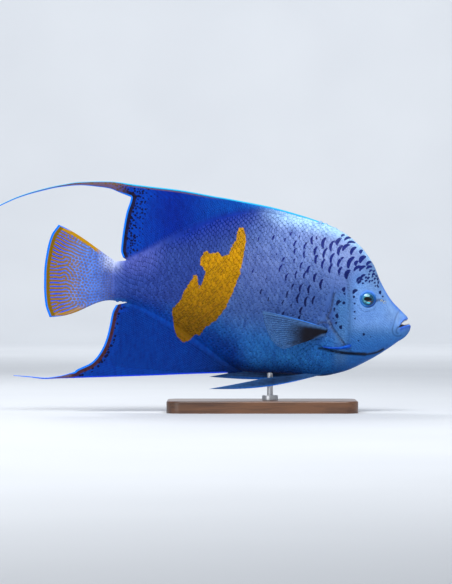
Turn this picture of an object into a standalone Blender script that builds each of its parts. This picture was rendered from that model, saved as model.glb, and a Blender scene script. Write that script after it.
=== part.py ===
"""A yellowbar (halfmoon) angelfish, Pomacanthus maculosus, as a life-size still model on a display stand.

Metres, +Z up. The head points to +X and the fish's left side to +Y. The origin is the centre of the
underside of the stand's base. The fish is modelled as one body whose half width is a function of X and Z,
and is parted into named nodes by thin cuts. Fins are slabs whose rays are ridges in their own surface.
"""

import math

import bmesh
import bpy
import numpy as np
from mathutils import Vector

MM = 0.001
GAP = 0.3 * MM

# Driving sizes of the fish, from the tip of the lower jaw to the hind edge of the tail fin.
TAIL_ROOT_X = -146 * MM
TAIL_STEM_X = -100 * MM
JAW_ROOT_X = 133.5 * MM
NAPE_X = 79 * MM
SOFT_DORSAL_X = -30 * MM
ANAL_FRONT_X = -18 * MM
FIN_REAR_X = -134.5 * MM

# Lines of the body without its fins, as (X, Z) in millimetres.
BACK_LINE = [(-146, 150.5), (-136, 151.5), (-122, 156), (-82, 176), (-42, 193), (-4, 200), (38, 193),
             (79, 180.5), (98, 166), (112, 146.5), (118.5, 130.5), (130, 111), (141, 99.5), (146, 93.6)]
BELLY_LINE = [(-146, 111), (-138, 110.3), (-122, 104.5), (-90, 88), (-54, 63), (-28, 44.5), (-14, 40),
              (20, 38.3), (58, 36), (80, 40), (108, 52.5), (128, 64.8), (138, 72), (144, 76.5), (149, 85)]
MIDDLE_LINE = [(-146, 131), (-100, 126), (-50, 115), (0, 107), (50, 99), (90, 91), (120, 86), (137, 84.8),
               (149, 86.5)]
# Greatest half width along the body, as (X, half width) in millimetres.
WIDTH_LINE = [(-146, 4.2), (-134, 6.2), (-110, 9.6), (-80, 14), (-50, 18.5), (-15, 23), (20, 25.6),
              (50, 26.6), (78, 25.8), (95, 22.3), (108, 17.8), (120, 13.4), (133, 9.2), (142, 7), (149, 3.2)]
# Half width left at the back and the belly, where the fins stand on them.
BACK_EDGE = [(-146, 1), (-138, 1.4), (-125, 2), (-40, 2.3), (40, 2.5), (70, 1.8), (82, 0.5), (149, 0.4)]
BELLY_EDGE = [(-146, 1), (-138, 1.4), (-125, 2), (-30, 2.3), (-14, 0.8), (0, 0.5), (149, 0.4)]
BACK_POWER = [(-146, 0.58), (-128, 0.66), (-40, 0.64), (60, 0.6), (85, 0.52), (149, 0.5)]
BELLY_POWER = [(-146, 0.56), (-128, 0.68), (-50, 0.7), (-5, 0.52), (149, 0.5)]
BULGE_POWER = 2.1

# The mouth: the edges of both lips from the root of the snout forward, and the half widths of both jaws.
MOUTH_CORNER_X = 136 * MM
LIP_ROUND = 1.8 * MM
UPPER_LIP = [(133.8, 85.05), (137, 85.6), (139, 88.6), (142, 91.3), (145.8, 92.8)]
LOWER_LIP = [(133.8, 84.65), (137, 84.7), (140, 86.1), (144, 86.9), (147, 87.9), (148.8, 86.6)]
UPPER_JAW_WIDTH = [(133.8, 9.0), (140, 7.9), (144, 5.6), (145.8, 2.6)]
LOWER_JAW_WIDTH = [(133.8, 9.0), (141, 8.1), (146, 6), (148.8, 2.8)]

# Hind edge of the head: down the gill opening, and forward under the cheek, as (X, Z) in millimetres.
GILL_LINE = [(82, 200), (80, 180), (75.5, 152), (71.5, 120), (67, 105), (64.5, 95), (69, 85.5), (76, 75.5),
             (83.5, 65.8), (90, 59), (101, 57.2), (114, 57.6), (130, 60), (146, 55)]
# The prism that parts the head from the torso: its front corners and its half depth.
PRISM_FRONT = [(170, 55), (170, 200)]
PRISM_HALF_DEPTH = 60 * MM
CHEEK_RAISE = 1.1 * MM
CHEEK_RAISE_Z = (112 * MM, 136 * MM)
CHEEK_RAISE_X = (110 * MM, 131 * MM)
GILL_COVER_Z = (66.5 * MM, 118 * MM)
GILL_COVER_FRONT_X = 87.5 * MM
GILL_COVER_PROUD = 0.7 * MM
GILL_COVER_DEPTH = 2.6 * MM
GILL_COVER_CORNER, GILL_COVER_CORNER_HEIGHT = 2.5 * MM, 14 * MM
GILL_CUTTER_BACK, GILL_CUTTER_PROUD = 4 * MM, 5 * MM

EYE_X, EYE_Z = 104.9 * MM, 113 * MM
EYE_RADIUS = 9.4 * MM
EYE_SUNK = 6.2 * MM
ORBIT_RIM_HEIGHT, ORBIT_RIM_RADIUS, ORBIT_RIM_SPREAD = 1.0 * MM, 9 * MM, 2.6 * MM
NOSTRILS = [(123.8 * MM, 109.3 * MM, 1.3 * MM), (120.4 * MM, 111.2 * MM, 0.9 * MM)]

DORSAL_SPINES = 12
DORSAL_RAYS = 21
ANAL_RAYS = 19
TAIL_RAYS = 17
PECTORAL_RAYS = 17
PELVIC_RAYS = 6
MEMBRANE = 0.42 * MM
SPINY_NOTCH = 1.2 * MM
RAY_RIDGE = 0.28 * MM

# Each row ties a root on the back or the belly, at X, to the tip of the ray that grows there, at (X, Z).
SPINY_TIPS = [(79, 76, 182.8), (66, 58, 190.3), (50, 38, 197), (25, 8, 205.3), (0, -22, 211.2),
              (-18, -36, 213.8), (-30, -47, 215.6)]
SOFT_TIPS = [(-30.6, -47.6, 215.7), (-47, -82, 222), (-62, -112, 225.6), (-74, -131, 228), (-82, -131, 221.5),
             (-90, -131, 215), (-102, -135.5, 199.5), (-112, -138, 187), (-122, -140.2, 171),
             (-130, -141, 161), (-134.5, -139, 154.5)]
ANAL_TIPS = [(-18, -34, 39.2), (-27, -72, 38), (-40, -112, 36.4), (-54, -152, 35.1), (-66, -187, 34),
             (-72, -187, 37.3), (-78, -187, 40.5), (-90, -170, 50), (-102, -160, 63), (-112, -155, 75.5),
             (-120, -152, 88), (-128, -149.6, 100), (-134.5, -146, 107)]
# Upper and lower edges of the long streamers, as (X, upper Z, lower Z) in millimetres.
DORSAL_STREAMER = [(-131.3, 228, 215), (-142, 229.6, 219.3), (-152, 230.5, 223.4), (-162, 230.6, 225),
                   (-182, 230, 226.7), (-202, 227, 224.9), (-222, 222.4, 220.6), (-242, 216.2, 214.7),
                   (-262, 207.2, 205.9), (-282, 195.6, 194.5), (-297, 185.4, 184.7)]
ANAL_STREAMER = [(-187.3, 40.5, 34), (-202, 36.2, 33.6), (-217, 34.3, 33), (-232, 35.6, 34.7),
                 (-248.5, 36.8, 36.3)]
STREAMER_RIB_HALF = 0.75 * MM
STREAMER_TIP_HALF = 0.3 * MM

# Outline of the tail fin: upper corner, hind edge and lower corner, as (X, Z) in millimetres.
TAIL_TIPS = [(-203.4, 187.4), (-210.6, 177), (-215.3, 160), (-217.8, 140), (-218, 125), (-216.7, 108),
             (-212.4, 94.8)]
TAIL_UPPER_BOW = 3.9 * MM
TAIL_LOWER_BEND, TAIL_LOWER_BOW = 2.6 * MM, 0.8 * MM
TAIL_SWELL = 0.25 * MM

PECTORAL_ROOT = ((65 * MM, 84 * MM), (61.5 * MM, 77 * MM))
PECTORAL_TIPS = [(0, 101.5), (1, 93), (3.5, 84), (8, 74), (14, 67), (21, 63.5)]
PECTORAL_SPREAD = 17 * MM
PECTORAL_ROOT_SINK = 1.5 * MM
PECTORAL_CUP = 2 * MM
PECTORAL_ARCH = 1.2 * MM
PECTORAL_ROOT_HALF = 1.5 * MM
PAIRED_MEMBRANE, PAIRED_RIDGE = 0.36 * MM, 0.24 * MM
PELVIC_ROOT_X = (60 * MM, 45 * MM)
PELVIC_ROOT_Y = 5.5 * MM
PELVIC_TIPS = [(-53, 23.5), (-47, 24.6), (-38, 26.2), (-18, 30), (2, 34.2)]
PELVIC_FOLD = 11.5 * MM
PELVIC_SPLAY = 8 * MM
PELVIC_ROOT_RISE = 2.2 * MM
PELVIC_SAG = 5.2 * MM
PELVIC_FLARE, PELVIC_TUCK = 2.6 * MM, 1.2 * MM
PELVIC_ROOT_HALF, PELVIC_SPINE_HALF = 0.9 * MM, 0.7 * MM
CHEEK_SPINE = [(89, 66.4, 2.3), (84, 65.4, 2.1), (76, 64, 1.6), (67, 64.3, 1.05), (59.5, 65.8, 0.4)]

BASE_LENGTH, BASE_WIDTH, BASE_THICK = 190 * MM, 84 * MM, 12 * MM
BASE_CORNER = 14 * MM
BASE_BEVEL = 1.5 * MM
ROD_X = 8 * MM
ROD_RADIUS = 3 * MM
ROD_SINK = 8 * MM
COLLAR_RADIUS, COLLAR_HEIGHT, COLLAR_BEVEL = 8 * MM, 5 * MM, 1 * MM


def monotone(points, at):
    """A smooth curve through the points, with no overshoot, read at the given places."""
    table = np.array(points, float)
    if table[0, 0] > table[-1, 0]:
        table = table[::-1]
    xs, ys = table[:, 0], table[:, 1]
    step = np.diff(xs)
    slope = np.diff(ys) / step
    tangent = np.empty(len(xs))
    tangent[0], tangent[-1] = slope[0], slope[-1]
    for k in range(1, len(xs) - 1):
        same_way = slope[k - 1] * slope[k] > 0
        tangent[k] = 2 * slope[k - 1] * slope[k] / (slope[k - 1] + slope[k]) if same_way else 0
    at = np.clip(np.asarray(at, float), xs[0], xs[-1])
    k = np.clip(np.searchsorted(xs, at) - 1, 0, len(step) - 1)
    u = (at - xs[k]) / step[k]
    return (
        ys[k] * (1 + 2 * u) * (1 - u) ** 2
        + tangent[k] * step[k] * u * (1 - u) ** 2
        + ys[k + 1] * u * u * (3 - 2 * u)
        + tangent[k + 1] * step[k] * u * u * (u - 1)
    )


def line_at(points, x):
    """Reads one of the lines above, given in millimetres, at X in metres."""
    return monotone(points, np.asarray(x) / MM) * MM


def column_at(rows, column, root_x):
    """Reads one column of a table of ray tips at a root's X in metres."""
    return line_at([(row[0], row[column]) for row in rows], root_x)


def smooth_path(points, count):
    """Points spaced evenly in parameter along a smooth curve through a few points in millimetres."""
    points = np.array(points, float) * MM
    along = np.concatenate([[0], np.cumsum(np.linalg.norm(np.diff(points, axis=0), axis=1))])
    at = np.linspace(0, along[-1], count)
    return np.stack([monotone(list(zip(along, points[:, k])), at) for k in range(points.shape[1])], axis=1)


def ease(low, high, value):
    share = np.clip((value - low) / (high - low), 0, 1)
    return share * share * (3 - 2 * share)


def cheek_raise(x, z):
    """How far the cheek and the gill cover stand over the flank behind them."""
    return CHEEK_RAISE * (1 - ease(*CHEEK_RAISE_Z, z)) * (1 - ease(*CHEEK_RAISE_X, x))


def orbit_rim(x, z):
    """The low ring of skin round the eye."""
    reach = np.hypot(x - EYE_X, z - EYE_Z)
    return ORBIT_RIM_HEIGHT * np.exp(-(((reach - ORBIT_RIM_RADIUS) / ORBIT_RIM_SPREAD) ** 2))


def half_width(x, z, on_head=False):
    """Half width of the body at (X, Z), with its edges at the back and the belly."""
    back, belly, middle = line_at(BACK_LINE, x), line_at(BELLY_LINE, x), line_at(MIDDLE_LINE, x)
    above = z > middle
    share = np.clip(np.where(above, (z - middle) / (back - middle), (middle - z) / (middle - belly)), 0, 1)
    power = np.where(above, monotone(BACK_POWER, x / MM), monotone(BELLY_POWER, x / MM))
    full = line_at(WIDTH_LINE, x) * (1 - share**BULGE_POWER) ** power
    edge = np.where(above, line_at(BACK_EDGE, x), line_at(BELLY_EDGE, x))
    wide = (full**4 + edge**4) ** 0.25
    if on_head:
        wide = wide + (cheek_raise(x, z) + orbit_rim(x, z)) * (1 - share**4)
    return wide


def material(name, colour, roughness, metallic=0.0):
    made = bpy.data.materials.new(name)
    made.use_nodes = True
    shader = made.node_tree.nodes["Principled BSDF"]
    shader.inputs["Base Color"].default_value = (*colour, 1)
    shader.inputs["Roughness"].default_value = roughness
    shader.inputs["Metallic"].default_value = metallic
    made.diffuse_color = (*colour, 1)
    return made


def mesh_object(name, vertices, faces, finish):
    """One closed mesh, with its faces turned outwards."""
    mesh = bpy.data.meshes.new(name)
    mesh.from_pydata([tuple(map(float, v)) for v in vertices], [], faces)
    body = bmesh.new()
    body.from_mesh(mesh)
    bmesh.ops.recalc_face_normals(body, faces=body.faces)
    body.to_mesh(mesh)
    body.free()
    return object_of(name, mesh, finish)


def object_of(name, mesh, finish):
    made = bpy.data.objects.new(name, mesh)
    bpy.context.scene.collection.objects.link(made)
    mesh.materials.clear()
    mesh.materials.append(finish)
    return made


def slab(name, front, back, finish):
    """A closed solid between two grids of points, split into triangles alike on both faces."""
    rows, columns = front.shape[:2]
    vertices = np.concatenate([front.reshape(-1, 3), back.reshape(-1, 3)])
    other = rows * columns
    faces = []
    for i in range(rows - 1):
        for j in range(columns - 1):
            a, b = i * columns + j, (i + 1) * columns + j
            faces += [(a, b, b + 1), (a, b + 1, a + 1)]
            faces += [(other + a, other + b + 1, other + b), (other + a, other + a + 1, other + b + 1)]
    border = [i * columns for i in range(rows)]
    border += [(rows - 1) * columns + j for j in range(1, columns)]
    border += [i * columns + columns - 1 for i in range(rows - 2, -1, -1)]
    border += list(range(columns - 2, 0, -1))
    for a, b in zip(border, border[1:] + border[:1]):
        faces += [(a, other + a, other + b), (a, other + b, b)]
    return mesh_object(name, vertices, faces, finish)


def mirrored_slab(name, x, z, half, finish):
    """A slab that is alike on both sides of the fish's middle plane."""
    return slab(name, np.stack([x, half, z], axis=-1), np.stack([x, -half, z], axis=-1), finish)


def stations(low, high, spacing):
    return np.linspace(low, high, max(3, round((high - low) / spacing) + 1))


def body_slab(name, x, finish, rows=15, on_head=False, grow=0.0):
    """The body along the stations X. Its rows lie closer together at the back and the belly."""
    back, belly, middle = line_at(BACK_LINE, x), line_at(BELLY_LINE, x), line_at(MIDDLE_LINE, x)
    turn = np.sin(np.linspace(-math.pi / 2, math.pi / 2, rows))[None, :]
    reach = np.where(turn > 0, (back - middle)[:, None], (middle - belly)[:, None])
    z = middle[:, None] + turn * reach
    across = x[:, None] + 0 * z
    half = half_width(across, z, on_head)
    return mirrored_slab(name, across, z + np.sign(turn) * abs(turn) ** 8 * grow, half + grow, finish)


def boolean(target, cutter, operation):
    """Applies one Boolean and keeps the largest closed surface that it leaves."""
    modifier = target.modifiers.new("cut", "BOOLEAN")
    modifier.operation = operation
    modifier.solver = "EXACT"
    modifier.object = cutter
    graph = bpy.context.evaluated_depsgraph_get()
    made = bpy.data.meshes.new_from_object(target.evaluated_get(graph))
    target.modifiers.clear()
    target.data = made
    keep_largest(made)


def keep_largest(mesh):
    body = bmesh.new()
    body.from_mesh(mesh)
    bmesh.ops.triangulate(body, faces=body.faces)
    left, islands = set(body.faces), []
    while left:
        island, edge = set(), [left.pop()]
        while edge:
            face = edge.pop()
            island.add(face)
            for side in face.edges:
                for near in side.link_faces:
                    if near in left:
                        left.remove(near)
                        edge.append(near)
        islands.append(island)
    largest = max(islands, key=lambda faces: sum(face.calc_area() for face in faces))
    bmesh.ops.delete(body, geom=[face for face in body.faces if face not in largest], context="FACES")
    body.to_mesh(mesh)
    body.free()


def remove(*objects):
    for made in objects:
        bpy.data.objects.remove(made)


def head_prism(name, shift, finish):
    """A prism over the head's outline in the middle plane, its hind edge moved back by the shift."""
    line = smooth_path(GILL_LINE, 46)
    run = np.gradient(line, axis=0)
    out = np.stack([run[:, 1], -run[:, 0]], axis=1) / np.linalg.norm(run, axis=1)[:, None]
    line = line + out * shift
    far = np.array(PRISM_FRONT) * MM
    outline = np.concatenate([line, far])
    body = bmesh.new()
    side = PRISM_HALF_DEPTH
    face = body.faces.new([body.verts.new((x, -side, z)) for x, z in outline])
    pushed = bmesh.ops.extrude_face_region(body, geom=[face])
    moved = [item for item in pushed["geom"] if isinstance(item, bmesh.types.BMVert)]
    bmesh.ops.translate(body, verts=moved, vec=(0, 2 * side, 0))
    bmesh.ops.recalc_face_normals(body, faces=body.faces)
    mesh = bpy.data.meshes.new(name)
    body.to_mesh(mesh)
    body.free()
    return object_of(name, mesh, finish)


def gill_cover(name, side, finish, grow=0.0):
    """A plate let into the side of the head, from the cheek's ridge back to the gill opening."""
    line = smooth_path(GILL_LINE, 160)
    low, high = GILL_COVER_Z
    z = np.linspace(low - grow, high + grow, 12)
    hind = np.interp(z, line[::-1, 1], line[::-1, 0]) - (0 if grow == 0 else GILL_CUTTER_BACK)
    share = np.linspace(0, 1, 5)[None, :]
    front = GILL_COVER_FRONT_X + grow - GILL_COVER_CORNER * ease(high - GILL_COVER_CORNER_HEIGHT, high, z)
    x = hind[:, None] * (1 - share) + front[:, None] * share
    z = z[:, None] + 0 * x
    skin = half_width(x, z, on_head=True)
    proud = GILL_COVER_PROUD if grow == 0 else GILL_CUTTER_PROUD
    outer = np.stack([x, side * (skin + proud), z], axis=-1)
    inner = np.stack([x, side * (skin - GILL_COVER_DEPTH - grow), z], axis=-1)
    return slab(name, outer, inner, finish)


def ball(name, centre, radius, finish, segments=20, rings=12):
    body = bmesh.new()
    bmesh.ops.create_uvsphere(body, u_segments=segments, v_segments=rings, radius=radius)
    bmesh.ops.translate(body, verts=body.verts, vec=centre)
    mesh = bpy.data.meshes.new(name)
    body.to_mesh(mesh)
    body.free()
    mesh.shade_smooth()
    return object_of(name, mesh, finish)


def eye_centre(side):
    """A point sunk under the skin, square to the head's surface at the middle of the eye."""
    step = 4 * MM
    x = EYE_X + np.array([0, -step, step, 0, 0])
    z = EYE_Z + np.array([0, 0, 0, -step, step])
    skin = half_width(x, z, True)
    out = Vector((-(skin[2] - skin[1]) / (2 * step), 1, -(skin[4] - skin[3]) / (2 * step))).normalized()
    centre = Vector((EYE_X, skin[0], EYE_Z)) - out * EYE_SUNK
    return Vector((centre.x, side * centre.y, centre.z))


def make_head(finish):
    """Head and torso are one body, parted along the gill opening; then the head gets its sockets."""
    x = np.concatenate([stations(40 * MM, 92 * MM, 5 * MM), stations(94.5 * MM, JAW_ROOT_X, 2.6 * MM)])
    head = body_slab("head", x, finish, rows=19, on_head=True)
    prism = head_prism("head_prism", 0, finish)
    boolean(head, prism, "INTERSECT")
    remove(prism)
    for side in (-1, 1):
        cutter = gill_cover("cutter", side, finish, grow=GAP)
        boolean(head, cutter, "DIFFERENCE")
        socket = ball("socket", eye_centre(side), EYE_RADIUS + GAP, finish)
        boolean(head, socket, "DIFFERENCE")
        remove(cutter, socket)
        for x_at, z_at, radius in NOSTRILS:
            depth = float(half_width(np.array(x_at), np.array(z_at), True))
            pit = ball("pit", Vector((x_at, side * depth, z_at)), radius, finish, 8, 6)
            boolean(head, pit, "DIFFERENCE")
            remove(pit)
    return head


def make_torso(finish):
    rear, front = stations(TAIL_STEM_X + GAP / 2, 50 * MM, 7 * MM), stations(54.5 * MM, JAW_ROOT_X, 4.5 * MM)
    x = np.concatenate([rear, front])
    torso = body_slab("torso", x, finish, rows=19)
    prism = head_prism("head_prism", GAP, finish)
    boolean(torso, prism, "DIFFERENCE")
    remove(prism)
    return torso


def jaw(name, crest, mouth, widths, finish):
    """Half of the snout in front of the head, from the mouth's line out to its crest, with a rounded lip."""
    x = np.linspace(JAW_ROOT_X + GAP, mouth[-1][0] * MM, 10)
    share = np.array([0, 0.05, 0.13, 0.28, 0.48, 0.68, 0.85, 0.95, 1])[None, :]
    start, end = line_at(mouth, x)[:, None], line_at(crest, x)[:, None]
    z = start + (end - start) * share
    lip = np.sqrt(np.clip(1 - (1 - np.abs(z - start) / LIP_ROUND).clip(0, 1) ** 2, 0, 1))
    opening = ease(MOUTH_CORNER_X, MOUTH_CORNER_X + 3 * MM, x)[:, None]
    half = line_at(widths, x)[:, None] * (1 - share**BULGE_POWER) ** 0.5 * (1 - opening * 0.45 * (1 - lip))
    return mirrored_slab(name, x[:, None] + 0 * z, z, np.maximum(half, MEMBRANE), finish)


def ray_ridge(count, rays):
    """One for a column on a ray's crest and nought in the membrane between rays."""
    return 0.5 + 0.5 * np.cos(np.linspace(0, 2 * math.pi * rays, count))


def median_fin(name, line, edge, tips, root, rays, rows, finish, hollow=0.0):
    """A fin on the middle plane, from its root on the back or the belly out to the tips of its rays."""
    columns = 2 * rays + 1
    root_x = np.linspace(root[0], root[1], columns)
    tip_x, tip_z = column_at(tips, 1, root_x), column_at(tips, 2, root_x)
    root_z = line_at(line, root_x)
    along = np.stack([tip_x - root_x, tip_z - root_z])
    length = np.linalg.norm(along, axis=0)
    slope = np.gradient(root_z, root_x)
    lift = GAP * np.sqrt(1 + slope**2) * np.sign(tip_z[len(tip_z) // 3] - root_z[len(root_z) // 3])
    share = np.linspace(0, 1, rows)[None, :]
    x = root_x[:, None] + along[0][:, None] * share
    z = (root_z + lift)[:, None] + (along[1] - lift)[:, None] * share
    ridge = ray_ridge(columns, rays)[:, None]
    notch = hollow * (1 - ridge) * share**6
    x, z = x - along[0][:, None] / length[:, None] * notch, z - along[1][:, None] / length[:, None] * notch
    thick = line_at(edge, root_x)[:, None] * (1 - share) ** 1.5 + MEMBRANE * (1 - (1 - share) ** 1.5)
    half = thick + RAY_RIDGE * ridge * ease(0, 0.25, share) * (1 - 0.55 * share)
    return mirrored_slab(name, x, z, half, finish)


def streamer(name, edges, count, finish):
    """The long, tapered end of the dorsal or the anal fin, with one raised ray along its middle."""
    near, far = edges[0][0] * MM, edges[-1][0] * MM
    x = near + (far - near) * np.linspace(0, 1, count) ** 0.9
    upper = line_at([(row[0], row[1]) for row in edges], x)[:, None]
    lower = line_at([(row[0], row[2]) for row in edges], x)[:, None]
    share = np.linspace(0, 1, 5)[None, :]
    z = lower + (upper - lower) * share
    run = np.linspace(0, 1, count)[:, None]
    rib = np.sin(math.pi * share)
    half = MEMBRANE * (1 - run) + STREAMER_TIP_HALF * run
    half = half + (STREAMER_RIB_HALF - MEMBRANE) * rib * (1 - run) ** 2
    return mirrored_slab(name, x[:, None] + 0 * z, z, half, finish)


def make_tail_fin(finish):
    """The tail fin, whose root matches the end of the tail stem."""
    columns, rows = 2 * TAIL_RAYS + 1, 9
    tips = smooth_path(TAIL_TIPS, columns)
    turn = np.sin(np.linspace(math.pi / 2, -math.pi / 2, columns))
    root_x = np.full(columns, TAIL_ROOT_X)
    back, belly, middle = (float(line_at(line, TAIL_ROOT_X)) for line in (BACK_LINE, BELLY_LINE, MIDDLE_LINE))
    root_z = middle + np.where(turn > 0, back - middle, middle - belly) * turn
    root_half = half_width(root_x, root_z)
    share = np.linspace(0, 1, rows)[None, :]
    x = (root_x - GAP)[:, None] + (tips[:, 0] - root_x + GAP)[:, None] * share
    z = root_z[:, None] + (tips[:, 1] - root_z)[:, None] * share
    upper_bow = TAIL_UPPER_BOW * np.sin(math.pi * share) * share
    lower_bow = TAIL_LOWER_BEND * np.sin(2 * math.pi * share**0.85) + TAIL_LOWER_BOW * np.sin(math.pi * share)
    z = z + np.where(turn[:, None] > 0, upper_bow, lower_bow) * np.abs(turn)[:, None] ** 3
    ridge = ray_ridge(columns, TAIL_RAYS)[:, None]
    fade = (1 - ease(0, 0.45, share)) * (1 - share)
    half = root_half[:, None] * fade + (MEMBRANE + TAIL_SWELL * (1 - share)) * (1 - fade)
    half = half + RAY_RIDGE * ridge * ease(0.1, 0.4, share) * (1 - 0.5 * share)
    return mirrored_slab("tail_fin", x, z, half, finish)


def blade(name, middle, out, half, finish):
    """A slab of the given half thickness on both sides of a curved middle sheet."""
    return slab(name, middle + out * half[..., None], middle - out * half[..., None], finish)


def sheet_normal(sheet):
    along, across = np.gradient(sheet, axis=1), np.gradient(sheet, axis=0)
    out = np.cross(along, across)
    return out / np.linalg.norm(out, axis=-1, keepdims=True)


def pectoral_fin(name, side, finish):
    """A fan of rays held back and a little away from the flank."""
    columns, rows = 2 * PECTORAL_RAYS + 1, 7
    spread = np.linspace(0, 1, columns)
    upper, lower = (np.array(point) for point in PECTORAL_ROOT)
    root = upper + (lower - upper) * spread[:, None]
    tips = smooth_path(PECTORAL_TIPS, columns)
    share = np.linspace(0, 1, rows)[None, :]
    x = root[:, :1] + (tips[:, :1] - root[:, :1]) * share
    z = root[:, 1:] + (tips[:, 1:] - root[:, 1:]) * share
    z = z + PECTORAL_ARCH * np.sin(math.pi * share) * (1 - spread[:, None])
    skin = half_width(root[:, 0], root[:, 1])[:, None]
    out = PECTORAL_SPREAD * share**0.9 - PECTORAL_ROOT_SINK
    out = out + PECTORAL_CUP * np.sin(math.pi * spread)[:, None] * share
    middle = np.stack([x, side * (skin + out), z], axis=-1)
    ridge = ray_ridge(columns, PECTORAL_RAYS)[:, None]
    half = PAIRED_MEMBRANE + PECTORAL_ROOT_HALF * (1 - share) ** 3
    half = half + PAIRED_RIDGE * ridge * ease(0, 0.3, share) * (1 - 0.6 * share)
    return blade(name, middle, sheet_normal(middle), half, finish)


def pelvic_fin(name, side, lift, splay, finish):
    """A long pointed fin folded back under the belly: a spine along its lower edge and five soft rays."""
    columns, rows = 2 * PELVIC_RAYS + 1, 13
    spread = np.linspace(0, 1, columns)[:, None]
    root_x = PELVIC_ROOT_X[0] + (PELVIC_ROOT_X[1] - PELVIC_ROOT_X[0]) * spread
    root_z = line_at(BELLY_LINE, root_x) + PELVIC_ROOT_RISE
    tips = smooth_path(PELVIC_TIPS, columns)
    share = np.linspace(0, 1, rows)[None, :]
    x = root_x + (tips[:, :1] - root_x) * share
    z = root_z + (tips[:, 1:] + lift - root_z) * share
    z = z + (0.1 * lift - (1 - spread) * PELVIC_SAG) * np.sin(math.pi * share)
    across = PELVIC_ROOT_Y + splay * share + spread * (PELVIC_FLARE * (1 - share) - PELVIC_TUCK * share)
    middle = np.stack([x, side * across, z], axis=-1)
    ridge = ray_ridge(columns, PELVIC_RAYS)[:, None]
    stout = PELVIC_ROOT_HALF + PELVIC_SPINE_HALF * (1 - spread) ** 4
    half = PAIRED_MEMBRANE + stout * (1 - share) ** 2
    half = half + PAIRED_RIDGE * ridge * ease(0, 0.2, share) * (1 - share)
    return blade(name, middle, sheet_normal(middle), half, finish)


def cheek_spine(name, side, finish, grow=0.0):
    """The strong spine at the lower corner of the gill cover, tapered and lying back along the side."""
    path = smooth_path(CHEEK_SPINE, 9)
    sides = 8
    depth = half_width(path[:, 0], path[:, 1], True)
    vertices, faces = [], []
    for (x, z, radius), y in zip(path, depth):
        radius = radius + grow
        for k in range(sides):
            angle = 2 * math.pi * k / sides
            across = side * (y + 0.5 * radius + radius * math.cos(angle))
            vertices.append((x, across, z + radius * math.sin(angle)))
    for i in range(len(path) - 1):
        for k in range(sides):
            a, b = i * sides + k, i * sides + (k + 1) % sides
            faces.append((a, b, b + sides, a + sides))
    faces.append(tuple(range(sides)))
    faces.append(tuple(range(len(vertices) - sides, len(vertices))))
    return mesh_object(name, vertices, faces, finish)


def cylinder(name, centre_x, low, high, radius, finish, segments=24, bevel=0.0):
    body = bmesh.new()
    made = bmesh.ops.create_cone(body, cap_ends=True, segments=segments, radius1=radius, radius2=radius,
                                 depth=high - low)
    bmesh.ops.translate(body, verts=made["verts"], vec=(centre_x, 0, (low + high) / 2))
    if bevel:
        rim = [edge for edge in body.edges if all(v.co.z > high - bevel / 2 for v in edge.verts)]
        bmesh.ops.bevel(body, geom=rim, offset=bevel, segments=2, affect="EDGES", profile=0.5)
    mesh = bpy.data.meshes.new(name)
    body.to_mesh(mesh)
    body.free()
    mesh.set_sharp_from_angle(angle=math.radians(35))
    return object_of(name, mesh, finish)


def make_base(finish):
    """A flat plate with round corners and a softened upper edge."""
    body = bmesh.new()
    made = bmesh.ops.create_cube(body, size=1)
    for vertex in made["verts"]:
        at = vertex.co
        vertex.co = Vector((at.x * BASE_LENGTH, at.y * BASE_WIDTH, (at.z + 0.5) * BASE_THICK))
    upright = [edge for edge in body.edges if abs(edge.verts[0].co.z - edge.verts[1].co.z) > BASE_THICK / 2]
    bmesh.ops.bevel(body, geom=upright, offset=BASE_CORNER, segments=7, affect="EDGES", profile=0.5)
    rim = [edge for edge in body.edges if all(v.co.z > BASE_THICK * 0.99 for v in edge.verts)]
    bmesh.ops.bevel(body, geom=rim, offset=BASE_BEVEL, segments=2, affect="EDGES", profile=0.5)
    mesh = bpy.data.meshes.new("stand_base")
    body.to_mesh(mesh)
    body.free()
    return object_of("stand_base", mesh, finish)


def make_stand(wood, metal, body_shape):
    make_base(wood)
    cylinder("stand_collar", ROD_X, BASE_THICK + GAP, BASE_THICK + COLLAR_HEIGHT, COLLAR_RADIUS, metal,
             bevel=COLLAR_BEVEL)
    belly = float(line_at(BELLY_LINE, ROD_X))
    rod = cylinder("stand_rod", ROD_X, BASE_THICK + COLLAR_HEIGHT + GAP, belly + ROD_SINK, ROD_RADIUS, metal)
    boolean(rod, body_shape, "DIFFERENCE")


def make_paired_parts(skin, fin, spine, eye, body_shape, head_shape):
    for side, word in ((-1, "right"), (1, "left")):
        cover = gill_cover(f"gill_cover_{word}", side, skin)
        ball(f"eye_{word}", eye_centre(side), EYE_RADIUS, eye)
        barb = cheek_spine(f"cheek_spine_{word}", side, spine)
        boolean(barb, head_shape, "DIFFERENCE")
        cutter = cheek_spine("cutter", side, spine, grow=GAP)
        boolean(cover, cutter, "DIFFERENCE")
        remove(cutter)
        pectoral = pectoral_fin(f"pectoral_fin_{word}", side, fin)
        boolean(pectoral, body_shape, "DIFFERENCE")
        lift, splay = (0, PELVIC_SPLAY) if side < 0 else (PELVIC_FOLD, PELVIC_SPLAY * 0.6)
        pelvic = pelvic_fin(f"pelvic_fin_{word}", side, lift, splay, fin)
        boolean(pelvic, body_shape, "DIFFERENCE")


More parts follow.
